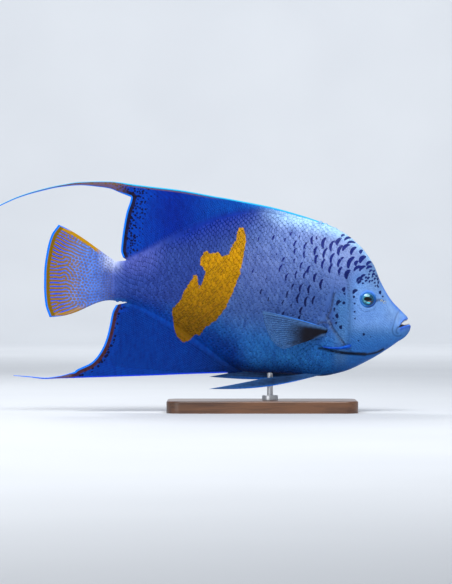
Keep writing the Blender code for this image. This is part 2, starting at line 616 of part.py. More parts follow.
def make_median_fins(fin, tail):
    median_fin("dorsal_fin_spiny", BACK_LINE, BACK_EDGE, SPINY_TIPS, (NAPE_X, SOFT_DORSAL_X), DORSAL_SPINES, 4,
               fin, hollow=SPINY_NOTCH)
    median_fin("dorsal_fin_soft", BACK_LINE, BACK_EDGE, SOFT_TIPS, (SOFT_DORSAL_X - 2 * GAP, FIN_REAR_X),
               DORSAL_RAYS, 8, fin)
    streamer("dorsal_streamer", DORSAL_STREAMER, 18, fin)
    median_fin("anal_fin", BELLY_LINE, BELLY_EDGE, ANAL_TIPS, (ANAL_FRONT_X, FIN_REAR_X), ANAL_RAYS, 8, fin)
    streamer("anal_streamer", ANAL_STREAMER, 8, fin)
    make_tail_fin(tail)


def main():
    for old in list(bpy.data.objects):
        bpy.data.objects.remove(old)
    skin = material("violet_blue_skin", (0.12, 0.2, 0.6), 0.4)
    fin = material("deep_blue_fin", (0.01, 0.06, 0.5), 0.4)
    tail = material("yellow_tail", (0.5, 0.3, 0.02), 0.4)
    spine = material("bright_blue_spine", (0.01, 0.1, 0.8), 0.3)
    eye = material("teal_eye", (0.02, 0.12, 0.16), 0.1)
    wood = material("dark_wood", (0.05, 0.025, 0.012), 0.45)
    metal = material("brushed_metal", (0.55, 0.55, 0.56), 0.35, 1.0)

    make_head(skin)
    make_torso(skin)
    body_slab("tail_stem", stations(TAIL_ROOT_X, TAIL_STEM_X - GAP / 2, 6 * MM), skin, rows=15)
    jaw("upper_jaw", BACK_LINE, UPPER_LIP, UPPER_JAW_WIDTH, skin)
    jaw("lower_jaw", BELLY_LINE, LOWER_LIP, LOWER_JAW_WIDTH, skin)
    make_median_fins(fin, tail)
    whole = stations(TAIL_ROOT_X, JAW_ROOT_X, 4.5 * MM)
    body_shape = body_slab("body_shape", whole, skin, rows=31, grow=GAP)
    head_shape = body_slab("head_shape", whole, skin, rows=31, on_head=True, grow=GAP)
    make_paired_parts(skin, fin, spine, eye, body_shape, head_shape)
    make_stand(wood, metal, body_shape)
    remove(body_shape, head_shape)


main()
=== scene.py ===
"""Looks of a yellowbar (halfmoon) angelfish, shown as a life-size model on a plain display stand.

Lengths inside this script are in millimetres until a mesh is made. The head points to +X, the fish's left
side to +Y and up is +Z, as in the frame.
"""

from math import cos, pi, radians, sin, sqrt

import bmesh
import bpy
import numpy as np
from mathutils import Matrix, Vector


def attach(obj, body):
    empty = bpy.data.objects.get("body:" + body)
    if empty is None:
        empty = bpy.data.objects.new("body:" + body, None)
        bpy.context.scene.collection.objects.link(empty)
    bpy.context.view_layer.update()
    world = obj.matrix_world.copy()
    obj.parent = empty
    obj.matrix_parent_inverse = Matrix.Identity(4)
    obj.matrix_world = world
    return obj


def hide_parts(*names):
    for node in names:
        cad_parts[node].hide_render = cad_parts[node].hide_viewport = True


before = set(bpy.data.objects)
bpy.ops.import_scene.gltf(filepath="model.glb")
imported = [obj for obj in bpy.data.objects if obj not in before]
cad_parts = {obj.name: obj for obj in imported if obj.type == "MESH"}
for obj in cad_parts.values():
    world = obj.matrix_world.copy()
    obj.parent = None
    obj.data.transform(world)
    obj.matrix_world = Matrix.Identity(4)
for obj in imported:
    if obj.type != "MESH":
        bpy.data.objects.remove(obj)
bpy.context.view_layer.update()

MM = 0.001
RIGHT, LEFT = -1, 1
SIDES = (("right", RIGHT), ("left", LEFT))

# Lines of the body without its fins, as (x, z).
BACK_LINE = [
    (-146, 150.5), (-136, 151.5), (-122, 156), (-82, 176), (-42, 193), (-4, 200), (38, 193), (79, 180.5),
    (98, 166), (112, 146.5), (118.5, 130.5), (130, 111), (141, 99.5), (146, 93.6),
]
BELLY_LINE = [
    (-146, 111), (-138, 110.3), (-122, 104.5), (-90, 88), (-54, 63), (-28, 44.5), (-14, 40), (20, 38.3),
    (58, 36), (80, 40), (108, 52.5), (128, 64.8), (138, 72), (144, 76.5), (149, 85),
]
MIDDLE_LINE = [(-146, 131), (-100, 126), (-50, 115), (0, 107), (50, 99), (90, 91), (120, 86), (137, 84.8),
               (149, 86.5)]
WIDTH_LINE = [
    (-146, 4.2), (-134, 6.2), (-110, 9.6), (-80, 14), (-50, 18.5), (-15, 23), (20, 25.6), (50, 26.6),
    (78, 25.8), (95, 22.3), (108, 17.8), (120, 13.4), (133, 9.2), (142, 7), (149, 3.2),
]
BACK_EDGE = [(-134.5, 0), (-131, 1.2), (-125, 2), (-40, 2.3), (40, 2.5), (70, 1.7), (76, 0.8), (79, 0)]
BELLY_EDGE = [(-134.5, 0), (-131, 1.2), (-125, 2), (-35, 2.3), (-24, 1.2), (-18, 0)]
BACK_POWER = [(-146, 0.58), (-128, 0.66), (-40, 0.64), (60, 0.6), (85, 0.52), (149, 0.5)]
BELLY_POWER = [(-146, 0.56), (-128, 0.68), (-50, 0.7), (-5, 0.52), (149, 0.5)]
BULGE_POWER, CHEEK_RISE, TINY = 2.1, 1.15, 1e-6

TAIL_ROOT_X, FIN_REAR_X, ANAL_FRONT_X, NAPE_X, MOUTH_CORNER_X = -146, -134.5, -18, 79, 136
UPPER_TIP_X, LOWER_TIP_X = 145.9, 148.7
UPPER_LIP = [(136, 84.8), (137, 85.7), (139, 88.5), (142, 91.3), (145.9, 92.7)]
LOWER_LIP = [(136, 84.8), (138, 84.9), (140, 86.0), (144, 86.9), (147, 87.7), (148.7, 86.2)]
UPPER_CREST = [(136, 104.4), (141, 99.5), (144.6, 95.9), (145.6, 94.4), (145.9, 93.6)]
LOWER_CREST = [(136, 70.6), (139, 72.2), (143, 75), (146.4, 79), (148.2, 82.6), (148.7, 85.2)]
JAW_WIDTH_SHAPE = [(0, 1), (0.35, 0.88), (0.7, 0.66), (0.9, 0.4), (0.97, 0.2), (1, 0)]

GILL_LINE = [
    (82, 200), (80, 180), (75.5, 152), (71.5, 120), (67, 105), (64.5, 95), (69, 85.5), (76, 75.5),
    (83.5, 65.8), (90, 59), (101, 57.2), (114, 57.6), (130, 60),
]
PREOPERCLE_LINE = [(84, 138), (86.5, 124), (87.2, 108), (87, 88), (86.5, 74), (84.5, 66.5)]
MAXILLA_LINE = [(136.4, 101.5), (135.2, 95), (134.6, 90), (135.6, 86)]
LIP_FOLD_LINE = [(137, 101.8), (133.4, 95), (131, 87), (129.6, 82), (131, 77.8), (135, 75.8), (139, 76.6)]
GILL_SLIT_LINE = [(56.5, 64.5), (68, 62.2), (76, 60.2), (86, 59), (103, 58), (113, 59.4), (121, 63)]
GILL_MARGIN_LINE = [(71, 118), (69, 107), (67, 100), (64.5, 95), (67, 91), (69, 85.5), (73, 80), (78, 73.5),
                    (83, 66.5)]
GILL_RIM_LINE = [(63.6, 95), (66, 90.6), (68, 85.2), (72, 79.4), (77, 73), (82, 66)]
EYE_STREAK_LINE = [(112.5, 110.8), (116.5, 112.2), (121, 111)]
JAW_FOLD_LINE = [(136.2, 85), (134, 82.4), (133.8, 80), (135.2, 78.6)]
ARMPIT_FOLD_LINE = [(53, 86.5), (58, 90), (63, 89.6), (69.5, 89)]

EYE_X, EYE_Z, EYE_RADIUS, EYE_SUNK = 104.9, 113, 9.4, 6.2
ORBIT_RADIUS, ORBIT_THICK, ORBIT_LIFT, NOSTRIL_THICK, NOSTRIL_LIFT = 7.45, 1.15, 0.4, 0.35, 0.1
NOSTRILS = [(122.2, 109.6, 1.2), (118.9, 111.3, 0.8)]

# Each row ties a fin's root on the body, at x, to the tip of the ray that grows there, at (x, z).
DORSAL_TIPS = [
    (79, 76, 182.8), (66, 58, 190.3), (50, 38, 197), (25, 8, 205.3), (0, -22, 211.2), (-18, -36, 213.8),
    (-30, -47, 215.6), (-47, -82, 222), (-62, -112, 225.6), (-74, -131, 228), (-82, -131, 221.5),
    (-90, -131, 215), (-102, -135.5, 199.5), (-112, -138, 187), (-122, -140.2, 171), (-130, -141, 161),
    (-134.5, -139, 154.5),
]
ANAL_TIPS = [
    (-18, -34, 39.2), (-27, -72, 38), (-40, -112, 36.4), (-54, -152, 35.1), (-66, -187, 34),
    (-72, -187, 37.3), (-78, -187, 40.5), (-90, -170, 50), (-102, -160, 63), (-112, -155, 75.5),
    (-120, -152, 88), (-128, -149.6, 100), (-134.5, -146, 107),
]
DORSAL_STREAMER_ROOT, ANAL_STREAMER_ROOT = (-74, -90), (-66, -78)
DORSAL_STREAMER = [
    (-131, 228, 215), (-142, 229.6, 219.3), (-152, 230.5, 223.4), (-162, 230.6, 225), (-182, 230, 226.7),
    (-202, 227, 224.9), (-222, 222.4, 220.6), (-242, 216.2, 214.7), (-262, 207.2, 205.9),
    (-282, 195.6, 194.5), (-297, 185.4, 184.7),
]
ANAL_STREAMER = [(-187, 40.5, 34), (-202, 36.2, 33.6), (-217, 34.3, 33), (-232, 35.6, 34.7),
                 (-248.5, 36.8, 36.3)]
TAIL_TIPS = [(-203.4, 187.4), (-210.6, 177), (-215.3, 160), (-217.8, 140), (-218, 125), (-216.7, 108),
             (-212.4, 94.8)]
TAIL_UPPER_BOW, TAIL_LOWER_BEND, TAIL_LOWER_BOW = 3.9, 2.6, 0.8
DORSAL_RAYS, ANAL_RAYS, TAIL_RAYS = 32, 21, 17
MEMBRANE_HALF, RIDGE_HALF, RIM_WIDTH = 0.4, 0.2, 0.55

LOWER_ROWS, UPPER_ROWS = 38, 50
DORSAL_ROWS, ANAL_ROWS, TAIL_COLUMNS, SNOUT_COLUMNS, PALATE_ROWS = 34, 44, 76, 16, 8

# Outline of the yellow bar on the flank, as (x, z).
BAR_OUTLINE = [
    (-23, 184), (-19, 184.5), (-17, 180), (-16, 171), (-18.5, 156), (-21.5, 140), (-29, 120), (-36, 105),
    (-46, 92), (-57, 84), (-62, 76.5), (-66, 78), (-72, 72.5), (-76, 69.3), (-80, 70.5), (-85.5, 76),
    (-88, 84), (-89.5, 99), (-89, 104), (-82, 111), (-77, 122), (-70, 133), (-67, 137.5), (-65, 137),
    (-63, 126), (-62.5, 123), (-59, 133), (-56.5, 139), (-58.5, 144), (-62, 147), (-61, 154), (-58, 160),
    (-54.5, 161), (-52, 158.5), (-43, 159.5), (-40, 154), (-33, 158.5), (-31, 164), (-26, 171.5), (-25, 179),
]

# Dark crescents and dots, measured forward and down from MARK_CORNER, as (top, top, low, low, thickness).
MARK_CORNER, MARK_BOW, MARK_SWELL, MARK_LEAST = (-22.1, 186.5), 0.16, 0.98, 0.75
MARKS = [
    (66.8, 16.8, 63.5, 26, 1.1), (64, 26, 64.5, 33.8, 1.1), (72, 11, 72.3, 20, 1.8),
    (76.7, 10, 76.9, 15, 0.8), (76.5, 21, 74.2, 30.5, 1.8), (77, 29.5, 75, 38.5, 1.8),
    (85, 12, 82.3, 23, 2.6), (86.5, 22.5, 82.8, 34, 1.8), (84, 34, 81.3, 43, 1.8), (93, 15.5, 90, 26, 2.2),
    (94, 27, 90, 39, 1.9), (91.2, 39, 88.7, 48.5, 1.8), (100.5, 12.5, 96, 20, 3),
    (101.5, 20, 97.5, 29.5, 2.6), (102.5, 31.5, 96.8, 42, 2.2), (101, 41.5, 98, 49.5, 2),
    (104.5, 9.5, 101, 10.8, 1.5), (111, 12, 104, 14.5, 2), (109, 19, 101.8, 25, 2.6),
    (115, 17, 107, 17.5, 1.8), (115.5, 21.5, 110, 29, 2.8), (113, 31.3, 107, 42.5, 3.4),
    (108.5, 44.5, 105, 53, 3.8), (117, 35.5, 114.5, 40, 2.8), (125, 30.5, 119, 37, 3.8),
    (122, 24.5, 119.8, 28, 2.6), (121, 40.8, 113, 45, 2.4), (124.5, 40.5, 118.8, 45, 2.4),
    (131, 36, 126, 39.5, 2.2), (131.5, 41, 126, 43, 2), (131.5, 44.5, 129, 46.5, 1.3),
    (134.5, 48.5, 131.5, 49.5, 1.6), (124.5, 49, 120, 53, 1.8), (121, 51.5, 115.8, 56, 1.9),
    (122.5, 54, 119, 55, 1.2), (120, 56, 117, 58, 1.8), (123, 57.6, 121.5, 58.2, 1.2),
    (126, 51.5, 124.8, 52.8, 1.3), (129, 51.7, 127, 53.7, 1.3), (126.5, 55, 124.5, 56, 1.2),
    (129.8, 55, 128.5, 57, 0.9), (135.5, 52.7, 133.8, 54, 1.2), (135, 56.8, 133.8, 58, 1),
    (137, 59, 138.4, 62, 0.8), (34.5, 10, 32.5, 15, 1.1), (46, 12.5, 44, 17, 0.8), (52, 6.5, 50, 11, 1),
    (56.5, 15, 53.5, 22, 1.3), (55.5, 22.5, 54.3, 29, 1.2), (54.5, 33, 54, 39, 0.8),
    (59.5, 10, 59.5, 13, 0.7), (62, 36.5, 60, 44, 1.2), (69.5, 40, 67.3, 48, 1.5), (66, 45, 63.3, 54.5, 1.2),
    (75.8, 47.5, 73.5, 57, 2), (82, 53.5, 79.8, 64, 1.9), (44.5, 31.5, 42.5, 37, 1.1), (42, 39, 39, 47, 1.1),
    (47.5, 48, 45.3, 56, 1.1), (56.5, 45, 55.5, 54, 1), (62.3, 57.5, 59, 66.5, 1.4),
    (69.3, 59.5, 68, 69, 1.6), (53.5, 58, 51.3, 65, 0.9), (13.5, 44, 12.5, 48, 0.8), (27, 52, 25.5, 55, 0.7),
    (37, 28, 36, 30, 0.7), (22, 63, 20.5, 69, 0.9), (48, 65, 46.7, 73, 1), (58.5, 68, 56.8, 78, 1.5),
    (66.3, 71, 65, 81, 1.6), (74, 70.5, 72, 79, 1.4), (61.5, 81, 59.8, 89.5, 1.6), (59.5, 90, 58.5, 95, 1.3),
    (43.5, 74.5, 41.8, 80, 0.8), (51.5, 78, 50.5, 82, 0.8), (43.8, 86, 42.3, 89.5, 1.2),
    (28.8, 71, 28.5, 78, 0.7), (19, 12, 18.3, 15, 0.8), (103.6, 62.2, 102.6, 66, 2.6),
    (104, 67.8, 103.6, 69.2, 1.8), (116.3, 64.3, 112, 67.6, 2.6), (113.8, 71, 112.4, 72, 1.9),
    (100.2, 74.6, 95.6, 79, 2.6), (104.2, 77, 101.8, 78, 2.2), (93.6, 82.4, 93.2, 85.6, 1.7),
    (96.7, 87.8, 96.3, 92.4, 2.6), (92.2, 91.8, 91.8, 93, 1.6), (95.6, 96.2, 95.3, 98.6, 1.4),
    (100.1, 99.8, 99.8, 103.2, 2.4), (114, 77.3, 113.9, 78.8, 1.1), (114, 85.2, 113.9, 86.6, 1),
    (114.2, 92.3, 114.1, 93.4, 0.8), (123.8, 108.2, 122.2, 109.2, 2), (130, 110.8, 129.8, 111.4, 0.8),
    (118, 114.7, 117.6, 115.4, 1), (140, 65.4, 139.8, 68.4, 2), (142.6, 70.4, 142.4, 71.6, 1.2),
    (134.6, 45.2, 132.8, 46.6, 1.1), (137, 49.8, 135.6, 51.2, 1.3), (138.4, 52.6, 137, 54.4, 1.4),
    (139, 56, 137.8, 57.8, 1.2), (132.6, 50.8, 131.4, 52, 0.8), (132.4, 54.6, 131.2, 56, 0.8),
    (135.6, 60, 134.6, 61.2, 0.7), (129.4, 48.4, 128, 49.6, 0.9),
]


def monotone(points, at):
    """A smooth curve through the points, with no overshoot, read at the given places."""
    table = np.array(points, float)
    if table[0, 0] > table[-1, 0]:
        table = table[::-1]
    xs, ys = table[:, 0], table[:, 1]
    step = np.diff(xs)
    slope = np.diff(ys) / step
    tangent = np.empty(len(xs))
    tangent[0], tangent[-1] = slope[0], slope[-1]
    for k in range(1, len(xs) - 1):
        same_way = slope[k - 1] * slope[k] > 0
        tangent[k] = 2 * slope[k - 1] * slope[k] / (slope[k - 1] + slope[k]) if same_way else 0
    at = np.clip(np.asarray(at, float), xs[0], xs[-1])
    k = np.clip(np.searchsorted(xs, at) - 1, 0, len(step) - 1)
    u = (at - xs[k]) / step[k]
    return (
        ys[k] * (1 + 2 * u) * (1 - u) ** 2
        + tangent[k] * step[k] * u * (1 - u) ** 2
        + ys[k + 1] * u * u * (3 - 2 * u)
        + tangent[k + 1] * step[k] * u * u * (u - 1)
    )


def column_at(rows, column, at):
    return monotone([(row[0], row[column]) for row in rows], at)


def smooth_path(points, count):
    """Points spaced evenly along a smooth curve through a few points."""
    points = np.array(points, float)
    along = np.concatenate([[0], np.cumsum(np.linalg.norm(np.diff(points, axis=0), axis=1))])
    at = np.linspace(0, along[-1], count)
    return np.stack([monotone(list(zip(along, points[:, k])), at) for k in range(points.shape[1])], axis=1)


def unit(value):
    return np.clip(value, 0, 1)


def ease(low, high, value):
    """Nought below the low value, one above the high one and a soft slope between them."""
    share = unit((value - low) / (high - low))
    return share * share * (3 - 2 * share)


def fall(low, high, value):
    return 1 - ease(low, high, value)


def bell(far, reach):
    return np.exp(-((far / reach) ** 2))


def bump_mask(x, z, centre_x, centre_z, reach_x, reach_z):
    """One at the centre of an oval patch, fading to nought all round."""
    return np.exp(-(((x - centre_x) / reach_x) ** 2) - ((z - centre_z) / reach_z) ** 2)


def line_distance(line, x, z, closed=False):
    """Distance from the places to a line of points, and which side of it they lie on."""
    points = np.array(line, float)
    if closed:
        points = np.concatenate([points, points[:1]])
    best = np.full(x.shape, 1e9)
    side = np.zeros(x.shape)
    for a, b in zip(points[:-1], points[1:]):
        run = b - a
        share = unit(((x - a[0]) * run[0] + (z - a[1]) * run[1]) / (run @ run))
        off_x, off_z = x - a[0] - share * run[0], z - a[1] - share * run[1]
        far = np.hypot(off_x, off_z)
        nearer = far < best
        best = np.where(nearer, far, best)
        side = np.where(nearer, np.sign(run[0] * (z - a[1]) - run[1] * (x - a[0])), side)
    return best, side


def far_from(line, x, z, count=24):
    """Distance from the places to a smooth curve through the line's points."""
    return line_distance(smooth_path(line, count), x, z)[0]


def inside(outline, x, z):
    """True for the places inside a closed outline."""
    points = np.array(outline, float)
    result = np.zeros(x.shape, bool)
    for (ax, az), (bx, bz) in zip(points, np.roll(points, -1, axis=0)):
        crosses = (az > z) != (bz > z)
        reach = ax + (z - az) * (bx - ax) / (bz - az if bz != az else 1e-9)
        result ^= crosses & (x < reach)
    return result


def body_lines(x):
    """Heights of the back, the belly and the middle line."""
    return monotone(BACK_LINE, x), monotone(BELLY_LINE, x), monotone(MIDDLE_LINE, x)


def height_share(x, z):
    """Height on the body, from nought at the belly to one at the back."""
    back, belly, _ = body_lines(x)
    return unit((z - belly) / (back - belly))


def body_half(x, z):
    """Half width of the plain body at (x, z), and how far the place is from the middle line to an edge."""
    back, belly, middle = body_lines(x)
    above = z > middle
    share = unit(np.where(above, (z - middle) / (back - middle), (middle - z) / (middle - belly)))
    power = np.where(above, monotone(BACK_POWER, x), monotone(BELLY_POWER, x))
    full = monotone(WIDTH_LINE, x) * (1 - share**BULGE_POWER) ** power
    edge = np.where(above, monotone(BACK_EDGE, x), monotone(BELLY_EDGE, x))
    return (full**4 + edge**4) ** 0.25, share


def cheek_swell(x, z):
    return CHEEK_RISE * fall(112, 136, z) * fall(108, 131, x)


def head_relief(x, z, share):
    """Folds, ridges and hollows of the head and the gill covers, added to the plain half width."""
    gill_far, gill_side = line_distance(smooth_path(GILL_LINE, 60), x, z)
    forward = np.where(gill_side > 0, gill_far, -gill_far)
    cheek = cheek_swell(x, z) * ease(-0.7, 0.9, forward)
    groove = -0.6 * bell(gill_far, 0.9) * fall(116, 136, z)
    pre_far, pre_side = line_distance(smooth_path(PREOPERCLE_LINE, 30), x, z)
    behind = np.where(pre_side > 0, -pre_far, pre_far)
    cover = 0.55 * ease(-0.4, 1.4, behind) * fall(10, 17, behind) * fall(108, 128, z) * (forward > -1)
    ridge = 0.5 * bell(pre_far, 1.0) - 0.35 * bell(pre_far - 2.2, 1.0) * (behind < 0)
    ridge = ridge * fall(122, 138, z) * ease(64, 68, z)
    slit_far, slit_side = line_distance(smooth_path(GILL_SLIT_LINE, 30), x, z)
    slit = -0.9 * bell(slit_far, 1.1) + 0.5 * bell(slit_far - 2.4, 1.5) * (slit_side > 0)
    reach = np.hypot(x - EYE_X, z - EYE_Z)
    orbit = 0.8 * bell(reach - EYE_RADIUS, 1.9)
    socket = -4.5 * fall(5.4, 7.5, reach)
    brow = 0.6 * bump_mask(x, z, 108, 125, 7, 3.2)
    lip_fold = 0.6 * bell(far_from(MAXILLA_LINE, x, z, 12), 1.2)
    lip_fold = lip_fold - 0.55 * bell(far_from(LIP_FOLD_LINE, x, z, 20), 0.8)
    jaw_fold = -0.35 * bell(far_from(JAW_FOLD_LINE, x, z, 12), 0.8)
    pit_fold = 0.5 * bell(far_from(ARMPIT_FOLD_LINE, x, z, 10), 0.9)
    relief = cheek + groove + cover + ridge + slit + orbit + socket + brow + lip_fold + jaw_fold
    return (relief * ease(60, 66, x) + pit_fold) * (1 - share**4)


def skin_half(x, z):
    half, share = body_half(x, z)
    return np.maximum(half + head_relief(x, z, share), 0)


def skin_half_plain(x, z):
    """Half width of the head with its raised cheek, without the folds and the socket of the eye."""
    half, share = body_half(x, z)
    return half + cheek_swell(x, z) * (1 - share**4)


# Dark lines of the head, mostly painted shade in its folds, grooves and gill slit, and pale lines on its
# ridges, partly painted highlight, as (line, reach, strength).
HEAD_CREASE_SHADES = (
    (GILL_SLIT_LINE[:-2], 1.4, 1.7), (GILL_SLIT_LINE[-4:], 1.1, 1.1), (GILL_MARGIN_LINE, 0.9, 0.7),
    (LIP_FOLD_LINE, 0.6, 0.45), (JAW_FOLD_LINE, 0.7, 0.5), (ARMPIT_FOLD_LINE, 0.9, 0.7),
    (EYE_STREAK_LINE, 1.2, 0.75), (PREOPERCLE_LINE, 1.7, 0.22))
RUSTY_CREASES = ((GILL_MARGIN_LINE, 1.2, 0.6), (ARMPIT_FOLD_LINE, 2.5, 1.0), (EYE_STREAK_LINE, 2.0, 1.0))
HEAD_RIDGE_HIGHLIGHTS = ((MAXILLA_LINE, 0.9, 0.5), (GILL_RIM_LINE, 0.55, 0.75))


def line_mask(lines, x, z):
    """Strength of the nearest of some soft lines at each place."""
    mask = np.zeros(x.shape)
    for line, reach, strength in lines:
        mask = np.maximum(mask, strength * bell(far_from(line, x, z), reach))
    return np.minimum(mask, 1)


class Sheet:
    """One side of the skin, laid out as grids of points that share the points of their common borders."""

    def __init__(self):
        self.points, self.fields, self.faces, self.count = [], [], [], 0

    def add(self, x, z, half, **fields):
        """Adds a grid of points and returns their numbers in the same layout."""
        shape = np.broadcast(x, z, half).shape
        layer = [np.broadcast_to(np.asarray(v, float), shape).ravel() for v in (x, z, half)]
        self.points.append(np.stack(layer, axis=1))
        named = {name: np.broadcast_to(np.asarray(v, float), shape).ravel() for name, v in fields.items()}
        self.fields.append((self.count, named))
        numbers = np.arange(self.count, self.count + layer[0].size).reshape(shape)
        self.count += layer[0].size
        return numbers

    def weave(self, numbers):
        a, b, c, d = numbers[:-1, :-1], numbers[1:, :-1], numbers[1:, 1:], numbers[:-1, 1:]
        self.faces.append(np.stack([a, b, c, d], axis=-1).reshape(-1, 4))

    def read(self, name, default):
        values = np.full(self.count, float(default))
        for start, named in self.fields:
            if name in named:
                values[start : start + named[name].size] = named[name]
        return values


def stations(*runs):
    """Stations along x from runs of (start, end, spacing)."""
    out = []
    for start, end, spacing in runs:
        out.append(np.linspace(start, end, round(abs(end - start) / spacing) + 1)[:-1])
    return np.concatenate(out + [[runs[-1][1]]])


FLANK_X = stations(
    (TAIL_ROOT_X, FIN_REAR_X, 1.15), (FIN_REAR_X, -90, 1.25), (-90, -78, 1.25), (-78, -74, 1.3),
    (-74, -66, 1.3), (-66, ANAL_FRONT_X, 1.25), (ANAL_FRONT_X, NAPE_X, 1.9))
HEAD_X = stations((NAPE_X, MOUTH_CORNER_X, 0.85))
WHOLE_X = np.concatenate([FLANK_X, HEAD_X[1:]])


def turns(lower, upper):
    """Rows from the belly, at minus one, over the middle line to the back, at one."""
    return np.concatenate([np.sin(np.linspace(-pi / 2, 0, lower + 1)),
                           np.sin(np.linspace(0, pi / 2, upper + 1))[1:]])


TURN = turns(LOWER_ROWS, UPPER_ROWS)
HEAD_TURN = turns(2 * LOWER_ROWS, 2 * UPPER_ROWS)


def body_grid(at, turn):
    """Places and half widths of the body's side, station by station from the belly to the back."""
    back, belly, middle = body_lines(at)
    reach = np.where(turn[None, :] > 0, (back - middle)[:, None], (middle - belly)[:, None])
    z = middle[:, None] + turn[None, :] * reach
    x = at[:, None] + 0 * z
    half = skin_half(x, z)
    no_dorsal = (at <= FIN_REAR_X + TINY) | (at >= NAPE_X - TINY)
    no_anal = (at <= FIN_REAR_X + TINY) | (at >= ANAL_FRONT_X - TINY)
    half[no_dorsal, -1] = 0
    half[no_anal, 0] = 0
    return x, z, half


def girth(z, half):
    """Length along the skin from the middle row, upwards positive, at each station."""
    steps = np.hypot(np.diff(z, axis=1), np.diff(half, axis=1))
    run = np.concatenate([np.zeros((len(z), 1)), np.cumsum(steps, axis=1)], axis=1)
    return run - run[:, LOWER_ROWS : LOWER_ROWS + 1]


def split_rays(ray, share, amount):
    """Ridges over the rays, each of which forks in the outer half of the fin."""
    fork = ease(0.42, 0.72, share)
    single, forked = (0.5 + 0.5 * np.cos(waves * pi * ray) for waves in (2, 4))
    ridge = (1 - fork) * single + fork * forked
    return amount * ridge * ease(0.02, 0.2, share) * (1 - 0.55 * share)


def fin_grid(root_x, line, edge, tips, rays, rows, streamer):
    """A fin on the middle plane: columns along its root, rows outwards to its margin."""
    tip_x, tip_z = column_at(tips, 1, root_x), column_at(tips, 2, root_x)
    root_z = monotone(line, root_x)
    length = np.hypot(tip_x - root_x, tip_z - root_z)[:, None]
    share = np.linspace(0, 1, rows)[None, :] * (1 - RIM_WIDTH / length)
    share = np.concatenate([share, np.ones_like(length)], axis=1)[:, 1:]
    x = root_x[:, None] + (tip_x - root_x)[:, None] * share
    z = root_z[:, None] + (tip_z - root_z)[:, None] * share
    start = monotone(edge, root_x)[:, None]
    half = start * (1 - share) ** 1.6 + MEMBRANE_HALF * (1 - (1 - share) ** 1.6)
    ray = (root_x[0] - root_x)[:, None] / abs(root_x[-1] - root_x[0]) * rays
    half = half + split_rays(ray, share, RIDGE_HALF)
    ends = np.minimum(abs(root_x - root_x[0]), abs(root_x - root_x[-1]))[:, None]
    half = half * np.sqrt(unit(ends / 2.2))
    in_streamer = (root_x < max(streamer) - TINY) & (root_x > min(streamer) + TINY)
    half[~in_streamer, -1] = 0
    outline = np.stack([tip_x, tip_z], axis=1)
    rear = line_distance(outline[root_x <= streamer[1] + TINY], x, z)[0]
    front = line_distance(outline[root_x >= streamer[0] - TINY], x, z)[0]
    sway = 0.5 * np.sin(root_x[:, None] / 17) * share**2
    ray = ray + 0 * share
    return x, z, half, {"front": front, "rear": rear, "fin": length * share, "ray": ray, "sway": sway}


def streamer_grid(table, rows, count, upward):
    """The long end of a fin: stations backwards to its tip, rows from its upper to its lower edge."""
    run = np.linspace(0, 1, count)[1:, None]
    x = table[0][0] + (table[-1][0] - table[0][0]) * run**1.05
    upper, lower = column_at(table, 1, x), column_at(table, 2, x)
    share = np.linspace(0, 1, rows)[None, :]
    z = upper + (lower - upper) * share
    bulk = 1 - np.abs(2 * share - 1) ** 2.5
    half = (0.62 * (1 - run) ** 0.8 + 0.22) * np.sqrt(unit(bulk))
    half[-1, :] = 0
    from_top, from_bottom = share * (upper - lower), (1 - share) * (upper - lower)
    front, rear = (from_top, from_bottom) if upward else (from_bottom, from_top)
    streamer = ease(0, 0.12, run) + 0 * z
    return x + 0 * z, z, half, {"front": front, "rear": rear, "streamer": streamer, "fin": 60}


def tail_grid(body_z, body_half_root):
    """The tail fin, whose rows carry on from the rows of the body at its root."""
    rows = len(TURN)
    tips = smooth_path(TAIL_TIPS, rows)[::-1]
    reach = np.hypot(tips[:, 0] - TAIL_ROOT_X, tips[:, 1] - body_z)[:, None]
    share = np.linspace(0, 1, TAIL_COLUMNS)[None, :] * (1 - RIM_WIDTH / reach)
    share = np.concatenate([share, np.ones_like(reach)], axis=1)[:, 1:]
    x = TAIL_ROOT_X + (tips[:, :1] - TAIL_ROOT_X) * share
    z = body_z[:, None] + (tips[:, 1:] - body_z[:, None]) * share
    upper = TAIL_UPPER_BOW * np.sin(pi * share) * share
    lower = TAIL_LOWER_BEND * np.sin(2 * pi * share**0.85) + TAIL_LOWER_BOW * np.sin(pi * share)
    weight = np.abs(TURN)[:, None] ** 3
    z = z + np.where(TURN[:, None] > 0, upper, lower) * weight
    ray = (np.arange(rows) / (rows - 1) * TAIL_RAYS)[:, None]
    fade = fall(0, 0.5, share) * (1 - share)
    half = body_half_root[:, None] * fade + (MEMBRANE_HALF + 0.3 * (1 - share)) * (1 - fade)
    half = half + split_rays(ray, share, RIDGE_HALF)
    rim_rows = np.sqrt(unit((1 - np.abs(TURN)) / 0.006))[:, None]
    half = half * rim_rows
    half[:, -1] = 0
    half[0], half[-1] = 0, 0
    rear = line_distance(tips, x, z)[0]
    sides = np.minimum(line_distance(np.stack([x[0], z[0]], 1), x, z)[0],
                       line_distance(np.stack([x[-1], z[-1]], 1), x, z)[0])
    sway = 1.1 * np.sin(pi * (np.arange(rows) / (rows - 1)))[:, None] * share**2 - 0.6 * share**2
    ray = ray + 0 * share
    return x, z, half, {"front": sides, "rear": rear, "tail": reach * share, "ray": ray, "sway": sway}


